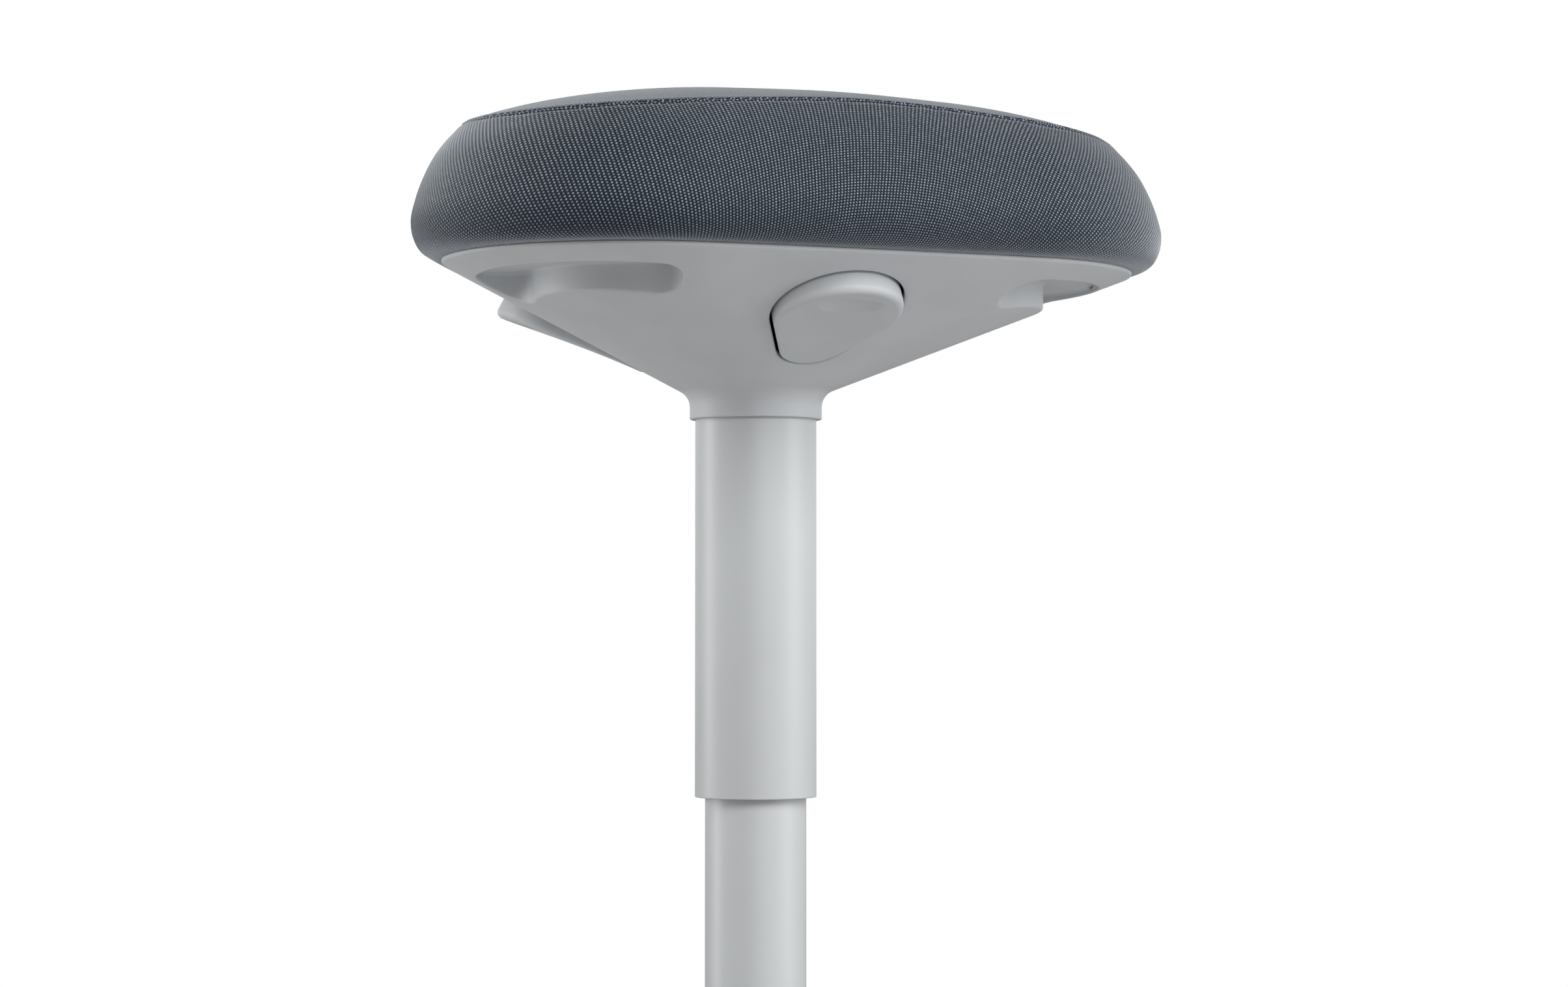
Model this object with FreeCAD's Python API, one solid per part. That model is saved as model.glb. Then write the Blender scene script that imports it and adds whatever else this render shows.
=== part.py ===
"""Perch stool with a three-cornered upholstered seat on a gas-lift column.

Millimetres, +Z up. The origin is the middle of the foot on the floor, and the column stands on
the Z axis. The seat is drawn at the middle of its height travel, with one flat side facing -Y.
Three release paddles sit in the flat sides and three carrying grips in the corners.
"""

import FreeCAD
import Part
import math
import os

V = FreeCAD.Vector
UP = V(0, 0, 1)

# Seat height and travel
collar_z = 527.0            # underside of the seat's collar above the floor, at mid height
lift_travel = 85.0          # the seat rises and falls this far from mid height

# Seat outline, at the rim of the under-shell
corner_radius = 93.4
corner_reach = 185.6        # axis to the tip of a corner
side_reach = 141.6          # axis to the middle of a side

# Under-shell, heights above the collar's underside
collar_radius = 32.7
collar_fillet = 9.0
collar_chamfer = 0.6
throat_radius = 39.0        # where the sloping bowl starts
throat_height = 14.8
rim_height = 69.4
rim_band = 1.2              # upright edge of the rim
skin_rise = 3.8             # wall of the bowl, measured upright

# Carrying grips, arc-shaped pockets round each corner's centre
grip_outer = 77.0
grip_inner = 50.0
grip_half_angle = 45.5
grip_wall = 2.4
grip_headroom = 1.0         # from a pocket's roof up to the rim

# Release paddles
paddle_outer_radius = 31.0
paddle_nose_radius = 17.0
paddle_spacing = 31.0       # between the two circles' centres, along the slope
paddle_start = 56.6         # axis to the inner tip
paddle_drop = 11.6          # drop of the underside below the bowl, just past the outer tip
paddle_overrun = 5.0        # the underside's curve is drawn this far past both tips
paddle_hollow = 1.5         # sag of the underside's long curve
paddle_headroom = 7.7       # from the paddle's top up to the seat board
paddle_depth = 5.2          # above the bowl's outer face
paddle_gap = 1.4
paddle_edge = 2.6
dimple_length = 34.0
dimple_width = 15.0
dimple_depth = 1.3
dimple_from_tip = 17.0
pivot_reach = 50.0
pivot_height = 34.0
pivot_pin_radius = 2.5
pivot_clearance = 0.06
pivot_boss = 5.0
lever_width = 10.0
nose_reach = 8.0            # axis to the end of the lever's nose
nose_thickness = 3.4
nose_play = 0.4
web_rise = 8.0              # top of the lever's web above the pivot
web_drop = 4.0              # underside of the web below the pivot
web_reach = 42.0            # length of the web outside the pivot
web_tail = 15.0             # top of the web's outer end above the pivot
web_tail_height = 4.0
neck_reach = 23.0           # the nose runs level this far in from the pivot

# Cradle that carries the seat on the gas spring
hub_radius = 22.0
hub_height = 44.0
flange_radius = 34.0
flange_thickness = 4.4
spigot_depth = 11.0
spigot_wall = 2.2
cone_mouth_radius = 14.0
cone_half_angle = 1.44
arm_width = 22.0
arm_reach = 112.0
arm_tip = 8.0
arm_root = 4.0              # the arms are drawn this far into the hub
arm_rise = 2.0              # underside of an arm above the flange, where it leaves the hub
arm_heel = 6.0              # and how far outside the hub that is
arm_under_lead = 8.0        # the arm is level from this far inside its first screw, below
arm_over_lead = 14.0        # and above
ear_thickness = 4.0
ear_play = 0.4
ear_root = 3.0
board_screw_insets = (28.0, 9.0)    # each screw in from the arm's tip
board_screw_radius = 3.0
board_screw_head = 5.4
board_screw_head_height = 3.6
board_screw_cover = 3.0     # wood left over a screw's end

# Seat board and cushion, heights above the rim
hem_thickness = 1.8
hem_width = 15.0
board_thickness = 12.0
board_inset = 3.0
cover_thickness = 1.8
bulge_heights = (0.0, 3.0, 8.0, 15.0, 23.0, 33.0, 44.0, 56.0, 67.0)
bulge_offsets = (1.0, 7.4, 11.6, 14.2, 14.9, 13.2, 9.2, 1.6, -8.0)
crown_height = 86.0
crown_power = 3.0
crown_steps = (1.0, 0.9, 0.76, 0.6, 0.42, 0.24, 0.08)
boss_reach = 112.0
boss_turn = 25.0            # shell bosses stand this far either side of a paddle, in degrees
boss_radius = 4.5
boss_spare = 3.6            # depth of a boss's hole past its screw
shell_screw_radius = 2.0
shell_screw_head = 4.0
shell_screw_head_height = 2.4
shell_screw_bite = 16.4     # depth of the screw in its boss

# Column
cover_tube_radius = 30.0
cover_tube_wall = 2.0
cover_tube_drop = 186.2     # visible length under the collar
glide_height = 12.0
glide_inset = 1.0
glide_play = 0.3
stand_radius = 25.0
stand_wall = 2.0
stand_headroom = 7.6        # left between guide bush and cradle at the lowest position
stand_foot = 10.0
bush_length = 70.0
bush_lip = 2.0
cylinder_radius = 14.0
cylinder_wall = 1.5
cylinder_headroom = 24.9    # left between buffer and cylinder at the lowest position
cylinder_stub = 2.0         # the spring's top stands this far out of the cradle
slide_play = 0.3
valve_length = 26.0
valve_floor = 2.0
release_pin_radius = 4.0
release_pin_length = 22.0
spool_radius = 10.5
spool_flange = 2.0
spool_lift = 3.6            # left between the spool and the spring's top
rod_radius = 5.0
rod_end_radius = 4.0
rod_guide_length = 20.0
piston_height = 12.0
piston_stop = 3.0           # left between piston and guide at full height

# Foot of the column
end_plate_z = 12.0
end_plate_thickness = 6.0
washer_thickness = 2.0
ball_radius = 1.5
ball_play = 0.05
ball_count = 8
ball_circle = 9.5
cage_play = 0.5
ball_pocket = 0.15          # play round a ball in the cage
bearing_radius = 13.0
buffer_height = 10.0
clip_thickness = 1.2
clip_radius = 7.0
clip_groove = 1.0
rod_tail = 2.0              # rod left below the clip

# Base
foot_radius = 205.0
foot_ring_width = 50.0
foot_ring_height = 8.0
foot_groove = 2.0
foot_groove_width = 10.0
foot_edge = 2.0
weight_inset = 25.0         # weight's edge in from the foot's edge
weight_thickness = 12.0
socket_flange_radius = 58.0
socket_flange = 8.0
socket_height = 46.0
socket_inset = 3.3          # socket's wall in from the collar's wall
socket_weld = 6.0
cover_wall = 2.6
cover_headroom = 2.4        # over the heads of the socket's screws
cover_bulge = 6.0           # rise of the dome over a straight slope
cover_top_gap = 1.4         # over the socket's top
cover_collar_fillet = 22.0
cover_play = 0.3
base_screw_inset = 12.0     # screws in from the socket flange's edge
base_screw_count = 6
base_screw_radius = 4.0
base_screw_head = 6.5
base_screw_head_height = 5.0

# Sizes that follow
corner_centre = corner_reach - corner_radius
half_span = corner_centre * math.sin(math.pi / 3)
side_depth = side_reach - corner_centre / 2
side_radius = (side_depth ** 2 - corner_radius ** 2 + half_span ** 2) / (2 * (side_depth - corner_radius))
side_centre = side_radius - side_reach
side_half = math.asin(half_span / (side_radius - corner_radius))
bowl_top = rim_height - rim_band
bowl_slope = (bowl_top - throat_height) / (side_reach - throat_radius)
bowl_angle = math.atan(bowl_slope)
floor_height = throat_height + skin_rise
third_turn = 360.0 / 3      # from one corner to the next
corner_angles = (90.0, 90.0 + third_turn, 90.0 + 2 * third_turn)
paddle_angles = {"a": 270.0, "b": 270.0 - 2 * third_turn, "c": 270.0 - third_turn}
rim_z = collar_z + rim_height
board_z = rim_z + hem_thickness
grip_ceiling = rim_height - grip_headroom - grip_wall
paddle_top = rim_height + hem_thickness - paddle_headroom
nose_height = hub_height + cylinder_stub + spool_lift + spool_flange + nose_play
board_screw_bite = board_thickness - board_screw_cover
board_screw_reach = [arm_reach - inset for inset in board_screw_insets]
shell_screw_length = board_thickness - shell_screw_head_height + shell_screw_bite
boss_depth = shell_screw_bite + boss_spare
stand_bore = stand_radius - stand_wall
stand_top = collar_z + floor_height - lift_travel - stand_headroom - bush_lip
cover_tube_bore = cover_tube_radius - cover_tube_wall
cover_tube_bottom = collar_z - cover_tube_drop
cylinder_top = collar_z + hub_height + cylinder_stub
spigot_bore = cover_tube_bore - spigot_wall
bearing_z = end_plate_z + end_plate_thickness
race_gap = 2 * (ball_radius + ball_play)
shoulder_z = bearing_z + 2 * washer_thickness + race_gap
cylinder_bottom = shoulder_z + buffer_height + cylinder_headroom + lift_travel
piston_z = cylinder_bottom + lift_travel + rod_guide_length + piston_stop
weight_z = foot_ring_height
weight_radius = foot_radius - weight_inset
socket_z = weight_z + weight_thickness
socket_radius = collar_radius - socket_inset
socket_top = socket_z + socket_height
base_screw_circle = socket_flange_radius - base_screw_inset
cover_edge = socket_z
cover_rise = socket_z + socket_flange + base_screw_head_height + cover_headroom + cover_wall
cover_collar_top = socket_top + cover_top_gap + cover_wall


def polar(radius, degrees, z=0.0):
    """Point at a radius and a direction round the Z axis."""
    turn = math.radians(degrees)
    return V(radius * math.cos(turn), radius * math.sin(turn), z)


def turned(shape, degrees):
    """Copy of a shape turned about the Z axis."""
    copy = shape.copy()
    copy.rotate(V(0, 0, 0), UP, degrees)
    return copy


def revolve(points):
    """Solid of revolution about Z from a closed outline of (radius, z) points."""
    corners = [V(r, 0, z) for r, z in points]
    face = Part.Face(Part.makePolygon(corners + corners[:1]))
    return face.revolve(V(0, 0, 0), UP, 360)


def ring(outer, inner, bottom, height, at=V(0, 0, 0)):
    """Flat ring or short tube standing on a height."""
    base = at + V(0, 0, bottom)
    body = Part.makeCylinder(outer, height, base)
    if inner > 0:
        body = body.cut(Part.makeCylinder(inner, height, base))
    return body


def plate(points, z, height):
    """Prism on a closed outline of (x, y) points."""
    corners = [V(x, y, z) for x, y in points]
    return Part.Face(Part.makePolygon(corners + corners[:1])).extrude(V(0, 0, height))


def side_profile(points, width):
    """Prism as wide as width, centred on the X axis, from a closed outline of (x, z) points."""
    corners = [V(x, -width / 2, z) for x, z in points]
    return Part.Face(Part.makePolygon(corners + corners[:1])).extrude(V(0, width, 0))


def arc_run(centre, radius, middle, half, z):
    """Arc about a centre, from middle - half to middle + half, in degrees."""
    ends = [centre + polar(radius, middle + turn, z) for turn in (-half, 0, half)]
    return Part.Arc(*ends).toShape()


def three_sided(offset, z, scale=1.0):
    """Seat outline grown outwards by offset: three corner arcs joined by three flatter side arcs."""
    side = math.degrees(side_half)
    between = third_turn / 2
    runs = []
    for corner in corner_angles:
        centre = polar(corner_centre * scale, corner)
        runs.append(arc_run(centre, (corner_radius + offset) * scale, corner, between - side, z))
        far = polar(-side_centre * scale, corner + between)
        runs.append(arc_run(far, (side_radius + offset) * scale, corner + between, side, z))
    return Part.Wire(runs)


def split_circle(radius, z):
    """Circle cut into the same six arcs as the seat outline, so that the bowl between is ruled."""
    side = math.degrees(side_half)
    between = third_turn / 2
    runs = []
    for corner in corner_angles:
        runs.append(arc_run(V(0, 0, 0), radius, corner, between - side, z))
        runs.append(arc_run(V(0, 0, 0), radius, corner + between, side, z))
    return Part.Wire(runs)


def seat_prism(offset, z, height):
    """Upright prism on the seat outline."""
    return Part.Face(three_sided(offset, z)).extrude(V(0, 0, height))


def bowl(lift):
    """Cone-like bowl from the throat circle up to the rim outline, raised by lift."""
    low = split_circle(throat_radius, collar_z + throat_height + lift)
    high = three_sided(0, collar_z + bowl_top + lift)
    return Part.makeLoft([low, high], True, True)


def collar():
    """Upright collar that flows into the bowl through a concave fillet."""
    corner_z = throat_height - (throat_radius - collar_radius) * bowl_slope
    reach = collar_fillet * math.tan((math.pi / 2 - bowl_angle) / 2)
    knee = V(collar_radius, 0, collar_z + corner_z)
    start = knee - UP * reach
    end = knee + V(math.cos(bowl_angle), 0, math.sin(bowl_angle)) * reach
    centre = start + V(collar_fillet, 0, 0)
    turn = math.pi - (math.pi / 2 - bowl_angle) / 2
    middle = centre + V(collar_fillet * math.cos(turn), 0, collar_fillet * math.sin(turn))
    top = collar_z + floor_height
    points = [V(throat_radius, 0, collar_z + throat_height), V(throat_radius, 0, top), V(0, 0, top),
              V(0, 0, collar_z), V(collar_radius - collar_chamfer, 0, collar_z),
              V(collar_radius, 0, collar_z + collar_chamfer), start]
    edges = [Part.LineSegment(a, b).toShape() for a, b in zip(points, points[1:])]
    edges.append(Part.Arc(start, middle, end).toShape())
    edges.append(Part.LineSegment(end, points[0]).toShape())
    return Part.Face(Part.Wire(edges)).revolve(V(0, 0, 0), UP, 360)


def grip_slot(grow, bottom, top):
    """Arc-shaped slot with round ends, concentric with the corner at +X, grown by grow."""
    centre = V(corner_centre, 0, 0)
    middle = (grip_outer + grip_inner) / 2
    end_radius = (grip_outer - grip_inner) / 2 + grow
    height = top - bottom
    sector_reach = 2 * grip_outer
    half = math.radians(grip_half_angle)
    sector = plate([(corner_centre, 0),
                    (corner_centre + sector_reach * math.cos(half), -sector_reach * math.sin(half)),
                    (corner_centre + 2 * sector_reach, 0),
                    (corner_centre + sector_reach * math.cos(half), sector_reach * math.sin(half))],
                   bottom, height)
    slot = ring(grip_outer + grow, grip_inner - grow, bottom, height, centre).common(sector)
    for turn in (-grip_half_angle, grip_half_angle):
        end = centre + polar(middle, turn, bottom)
        slot = slot.fuse(Part.makeCylinder(end_radius, height, end))
    return slot.removeSplitter()


def paddle_prism(grow):
    """Two circles and their common tangents on the bowl's flat side at +X, pushed through square to it."""
    along = V(math.cos(bowl_angle), 0, math.sin(bowl_angle))
    outward = V(math.sin(bowl_angle), 0, -math.cos(bowl_angle))
    tip_z = collar_z + throat_height + (paddle_start - throat_radius) * bowl_slope
    nose = V(paddle_start, 0, tip_z) + along * paddle_nose_radius
    outer = nose + along * paddle_spacing
    lean = math.asin((paddle_outer_radius - paddle_nose_radius) / paddle_spacing)
    across = V(0, 1, 0)

    def rim_point(centre, radius, turn):
        return centre + along * (radius * math.cos(turn)) + across * (radius * math.sin(turn))

    tangent = math.pi / 2 + lean
    big, small = paddle_outer_radius + grow, paddle_nose_radius + grow
    a, b = rim_point(outer, big, -tangent), rim_point(outer, big, tangent)
    c, d = rim_point(nose, small, tangent), rim_point(nose, small, -tangent)
    edges = [Part.Arc(a, rim_point(outer, big, 0), b).toShape(), Part.LineSegment(b, c).toShape(),
             Part.Arc(c, rim_point(nose, small, math.pi), d).toShape(), Part.LineSegment(d, a).toShape()]
    face = Part.Face(Part.Wire(edges))
    face.translate(outward * paddle_outer_radius)
    return face.extrude(outward * (-2 * paddle_outer_radius))


def seat_shell():
    """Moulded under-shell with its collar, grip pockets, paddle openings and screw bosses."""
    outside = bowl(0).fuse(seat_prism(0, collar_z + bowl_top, rim_band)).fuse(collar())
    shell = outside.cut(bowl(skin_rise))
    room = bowl(0).fuse(seat_prism(0, collar_z + bowl_top, rim_band + hem_thickness))
    top = collar_z + grip_ceiling
    for corner in corner_angles:
        pocket = grip_slot(grip_wall, collar_z + throat_height, top + grip_wall)
        shell = shell.fuse(turned(pocket, corner).common(bowl(0)))
    for x, y in boss_places():
        post = Part.makeCylinder(boss_radius, board_z - collar_z, V(x, y, collar_z)).common(room)
        bore = Part.makeCylinder(shell_screw_radius, boss_depth, V(x, y, board_z - boss_depth))
        shell = shell.fuse(post.cut(bore))
    shell = shell.cut(ring(cover_tube_radius, 0, collar_z, floor_height))
    for corner in corner_angles:
        shell = shell.cut(turned(grip_slot(0, collar_z, top), corner))
    for angle in paddle_angles.values():
        shell = shell.cut(turned(paddle_prism(paddle_gap), angle))
    return shell.removeSplitter()


def boss_places():
    """Places of the bosses that hold the shell to the board, two beside each paddle."""
    spots = []
    for angle in paddle_angles.values():
        for turn in (-boss_turn, boss_turn):
            spot = polar(boss_reach, angle + turn)
            spots.append((spot.x, spot.y))
    return spots


def paddle_lever(angle):
    """Release paddle with its pivot boss and the nose that reaches in to the release spool."""
    prism = paddle_prism(0)
    run = paddle_nose_radius + paddle_spacing + paddle_outer_radius
    end_r = paddle_start + run * math.cos(bowl_angle)
    face_z = collar_z + throat_height - throat_radius * bowl_slope
    inner, outer = paddle_start - paddle_overrun, end_r + paddle_overrun
    start = V(inner, 0, face_z + inner * bowl_slope)
    end = V(outer, 0, face_z + outer * bowl_slope - paddle_drop)
    middle = (start + end) / 2 + V(0, 0, paddle_hollow)
    rise = paddle_depth / math.cos(bowl_angle)
    roof = collar_z + paddle_top
    knee = (roof - rise - face_z) / bowl_slope
    top = [V(end.x, 0, roof), V(knee, 0, roof), start + V(0, 0, rise)]
    edges = [Part.Arc(start, middle, end).toShape()]
    corners = [end] + top + [start]
    edges += [Part.LineSegment(a, b).toShape() for a, b in zip(corners, corners[1:])]
    half = 2 * paddle_outer_radius
    face = Part.Face(Part.Wire(edges))
    face.translate(V(0, -half, 0))
    pad = face.extrude(V(0, 2 * half, 0)).common(prism)
    lower = [e for e in pad.Edges if under_edge(e, start, end)]
    pad = pad.makeFillet(paddle_edge, lower)
    pad = pad.cut(dimple(start, end))
    pad = pad.fuse(lever_arm())
    bore = Part.makeCylinder(pivot_pin_radius + pivot_clearance, lever_width,
                             V(pivot_reach, -lever_width / 2, collar_z + pivot_height), V(0, 1, 0))
    return turned(pad.cut(bore).removeSplitter(), angle)


def under_edge(edge, start, end):
    """True for an edge that lies on the paddle's long curved underside."""
    chord = (end - start)
    for vertex in edge.Vertexes:
        share = (vertex.Point.x - start.x) / chord.x
        line_z = start.z + chord.z * share
        if abs(vertex.Point.z - line_z) > 2 * paddle_hollow:
            return False
    return True


def dimple(start, end):
    """Shallow oval hollow for the fingertips, across the paddle near its outer end."""
    chord = (end - start).normalize()
    lean = math.degrees(math.atan2(chord.z, chord.x))
    length = (end - start).Length
    distance = length - paddle_overrun - dimple_from_tip
    share = distance / length
    centre = start + chord * distance + V(0, 0, 4 * paddle_hollow * share * (1 - share))
    ball = Part.makeSphere(1.0)
    stretch = FreeCAD.Matrix()
    stretch.scale(dimple_width / 2, dimple_length / 2, dimple_depth)
    oval = ball.transformGeometry(stretch)
    oval.rotate(V(0, 0, 0), V(0, 1, 0), -lean)
    oval.translate(centre)
    return oval


def lever_arm():
    """Web between the paddle, the pivot and the nose, drawn from the side."""
    z = collar_z
    nose_top = nose_height + nose_thickness
    pivot_z = z + pivot_height
    points = [(nose_reach, z + nose_height), (pivot_reach - neck_reach, z + nose_height),
              (pivot_reach - pivot_boss, pivot_z), (pivot_reach, pivot_z - web_drop),
              (pivot_reach + web_rise, pivot_z - web_drop),
              (pivot_reach + 2 * web_rise, pivot_z - pivot_boss / 2),
              (pivot_reach + web_reach, pivot_z + web_tail - web_tail_height),
              (pivot_reach + web_reach, pivot_z + web_tail), (pivot_reach + web_rise, pivot_z + web_rise),
              (pivot_reach - pivot_boss, pivot_z + web_rise),
              (pivot_reach - neck_reach + pivot_boss, z + nose_top), (nose_reach, z + nose_top)]
    boss = Part.makeCylinder(pivot_boss, lever_width,
                             V(pivot_reach, -lever_width / 2, z + pivot_height), V(0, 1, 0))
    return side_profile(points, lever_width).fuse(boss)


def lever_pin(angle):
    """Steel pin through a paddle's pivot and the cradle's two ears."""
    half = lever_width / 2 + ear_play + ear_thickness
    start = V(pivot_reach, -half, collar_z + pivot_height)
    return turned(Part.makeCylinder(pivot_pin_radius, 2 * half, start, V(0, 1, 0)), angle)


def cradle():
    """Cast cradle: cone hub on the gas spring, flange on the cover tube, three arms and six ears."""
    z = collar_z
    floor = z + floor_height
    cone_top = cone_mouth_radius - (hub_height - floor_height) * math.tan(math.radians(cone_half_angle))
    flange_top = floor + flange_thickness
    body = revolve([(spigot_bore, floor - spigot_depth), (cover_tube_bore, floor - spigot_depth),
                    (cover_tube_bore, floor), (flange_radius, floor), (flange_radius, flange_top),
                    (hub_radius, flange_top), (hub_radius, z + hub_height),
                    (cone_top, z + hub_height), (cone_mouth_radius, floor), (spigot_bore, floor)])
    under, root = board_z - arm_tip, hub_radius - arm_root
    arm_points = [(root, flange_top), (hub_radius + arm_heel, flange_top + arm_rise),
                  (board_screw_reach[0] - arm_under_lead, under), (arm_reach, under), (arm_reach, board_z),
                  (board_screw_reach[0] - arm_over_lead, board_z), (hub_radius, z + hub_height),
                  (root, z + hub_height)]
    arm = side_profile(arm_points, arm_width)
    for reach in board_screw_reach:
        arm = arm.cut(Part.makeCylinder(board_screw_radius, arm_tip, V(reach, 0, under)))
    for corner in corner_angles:
        body = body.fuse(turned(arm, corner))
    inside = lever_width / 2 + ear_play
    ear_low, ear_high = z + pivot_height - pivot_boss, z + pivot_height + pivot_boss
    ear_points = [(hub_radius - ear_root, ear_low), (pivot_reach, ear_low), (pivot_reach, ear_high),
                  (hub_radius - ear_root, ear_high)]
    ear = side_profile(ear_points, ear_thickness)
    ear = ear.fuse(Part.makeCylinder(pivot_boss, ear_thickness,
                                     V(pivot_reach, -ear_thickness / 2, z + pivot_height), V(0, 1, 0)))
    ear = ear.cut(Part.makeCylinder(pivot_pin_radius, ear_thickness,
                                    V(pivot_reach, -ear_thickness / 2, z + pivot_height), V(0, 1, 0)))
    for angle in paddle_angles.values():
        for side in (-1, 1):
            placed = ear.copy()
            placed.translate(V(0, side * (inside + ear_thickness / 2), 0))
            body = body.fuse(turned(placed, angle))
    return body.removeSplitter()


def headed_screw(radius, length, head_radius, head_height, seat, down):
    """Plain screw with its head's seat at a point, the shank running up from it or down."""
    way = -1 if down else 1
    shank = Part.makeCylinder(radius, length, seat, V(0, 0, way))
    head = Part.makeCylinder(head_radius, head_height, seat, V(0, 0, -way))
    return shank.fuse(head).removeSplitter()


def board_screws():
    """Screws up through the cradle's arms into the seat board."""
    seat = board_z - arm_tip
    length = arm_tip + board_screw_bite
    screws = []
    for corner in corner_angles:
        for reach in board_screw_reach:
            spot = polar(reach, corner, seat)
            screws.append(headed_screw(board_screw_radius, length, board_screw_head,
                                        board_screw_head_height, spot, False))
    return Part.makeCompound(screws)


def shell_screws():
    """Screws down through the seat board into the shell's bosses, heads flush with the board."""
    seat = board_z + board_thickness - shell_screw_head_height
    screws = [headed_screw(shell_screw_radius, shell_screw_length, shell_screw_head, shell_screw_head_height,
                           V(x, y, seat), True) for x, y in boss_places()]
    return Part.makeCompound(screws)


def seat_board():
    """Plywood board under the foam, drilled for both sets of screws."""
    board = seat_prism(-board_inset, board_z, board_thickness)
    for corner in corner_angles:
        for reach in board_screw_reach:
            spot = polar(reach, corner, board_z)
            board = board.cut(Part.makeCylinder(board_screw_radius, board_screw_bite, spot))
    for x, y in boss_places():
        board = board.cut(Part.makeCylinder(shell_screw_radius, board_thickness, V(x, y, board_z)))
        head = V(x, y, board_z + board_thickness - shell_screw_head_height)
        board = board.cut(Part.makeCylinder(shell_screw_head, shell_screw_head_height, head))
    return board


def cushion_side(inset):
    """Bulging side of the cushion up to the seam, drawn in by inset all round."""
    profile = zip(bulge_heights, bulge_offsets)
    wires = [three_sided(offset - inset, rim_z + height) for height, offset in profile]
    side = Part.makeLoft(wires, True, False)
    below = hem_thickness if inset else 0.0
    return side.cut(ring(2 * corner_reach, 0, collar_z, rim_height + below))


def cushion_crown(inset):
    """Domed top of the cushion above the seam, drawn in by inset."""
    seam = bulge_heights[-1]
    wires = []
    for share in crown_steps:
        height = crown_height - inset - (crown_height - inset - seam) * share ** crown_power
        wires.append(three_sided(bulge_offsets[-1] - inset, rim_z + height, share))
    return Part.makeLoft(wires, True, False)


def cover_band():
    """Fabric side band of the cushion cover, with the hem that is stapled under the board."""
    band = cushion_side(0).cut(cushion_side(cover_thickness))
    return band.cut(seat_prism(-hem_width, rim_z, hem_thickness))


def cover_top():
    """Fabric top panel of the cushion cover."""
    return cushion_crown(0).cut(cushion_crown(cover_thickness))


def foam_pad():
    """Moulded foam that fills the cover and wraps the board's edge."""
    foam = cushion_side(cover_thickness).fuse(cushion_crown(cover_thickness)).removeSplitter()
    return foam.cut(seat_prism(-board_inset, board_z, board_thickness))


def cover_tube():
    """Outer telescopic tube that hangs from the seat's collar."""
    top = collar_z + floor_height
    return ring(cover_tube_radius, cover_tube_bore, cover_tube_bottom, top - cover_tube_bottom)


def glide_ring():
    """Plastic ring that guides the cover tube on the stand tube."""
    return ring(cover_tube_bore, stand_radius + glide_play, cover_tube_bottom + glide_inset, glide_height)


def stand_tube():
    """Inner tube of the column, fixed in the base."""
    return ring(stand_radius, stand_bore, stand_foot, stand_top - stand_foot)


def guide_bush():
    """Plastic bush in the top of the stand tube, in which the gas spring slides."""
    bore = cylinder_radius + slide_play
    return revolve([(bore, stand_top - bush_length), (stand_bore, stand_top - bush_length),
                    (stand_bore, stand_top), (stand_radius, stand_top), (stand_radius, stand_top + bush_lip),
                    (bore, stand_top + bush_lip)])


def gas_cylinder():
    """Gas spring's cylinder, with the taper and the valve block that sit in the cradle."""
    floor = collar_z + floor_height
    lean = math.tan(math.radians(cone_half_angle))
    top_radius = cone_mouth_radius - (cylinder_top - floor) * lean
    bore = cylinder_radius - cylinder_wall
    pin_bore = release_pin_radius + slide_play
    valve_z = cylinder_top - valve_length
    return revolve([(cylinder_radius, cylinder_bottom), (cylinder_radius, floor), (top_radius, cylinder_top),
                    (pin_bore, cylinder_top), (pin_bore, valve_z + valve_floor), (0, valve_z + valve_floor),
                    (0, valve_z), (bore, valve_z), (bore, cylinder_bottom)])


def rod_guide():
    """Seal and guide for the rod in the lower end of the cylinder."""
    return ring(cylinder_radius - cylinder_wall, rod_radius + slide_play, cylinder_bottom, rod_guide_length)


def release_spool():
    """Valve pin of the gas spring with the grooved spool that the paddles' noses pull down."""
    groove = nose_thickness + 2 * nose_play
    low = collar_z + nose_height - nose_play - spool_flange
    high = low + spool_flange + groove
    pin_bottom = low - release_pin_length + spool_flange
    return revolve([(0, pin_bottom), (release_pin_radius, pin_bottom), (release_pin_radius, low),
                    (spool_radius, low), (spool_radius, low + spool_flange),
                    (release_pin_radius, low + spool_flange), (release_pin_radius, high), (spool_radius, high),
                    (spool_radius, high + spool_flange), (0, high + spool_flange)])


def piston_rod():
    """Rod of the gas spring, stepped down where it passes the bearing and the end plate."""
    groove_z = end_plate_z - clip_thickness
    core, tail_z = rod_end_radius - clip_groove, groove_z - rod_tail
    return revolve([(0, tail_z), (rod_end_radius, tail_z), (rod_end_radius, groove_z),
                    (core, groove_z), (core, end_plate_z), (rod_end_radius, end_plate_z),
 (rod_end_radius, shoulder_z), (rod_radius, shoulder_z),
                    (rod_radius, piston_z + piston_height), (0, piston_z + piston_height)])


def piston():
    """Piston on the upper end of the rod."""
    return ring(cylinder_radius - cylinder_wall - slide_play, rod_radius, piston_z, piston_height)


def rod_clip():
    """Spring clip that keeps the rod in the end plate."""
    core = rod_end_radius - clip_groove
    clip = ring(clip_radius, core, end_plate_z - clip_thickness, clip_thickness)
    gap = Part.makeBox(clip_radius, 2 * core, clip_thickness, V(0, -core, end_plate_z - clip_thickness))
    return clip.cut(gap)


def end_plate():
    """Steel plate that closes the foot of the stand tube."""
    return ring(stand_bore, rod_end_radius + slide_play, end_plate_z, end_plate_thickness)


def bearing_washer(z):
    """Hardened washer of the swivel bearing."""
    return ring(bearing_radius, rod_end_radius + slide_play, z, washer_thickness)


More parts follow.
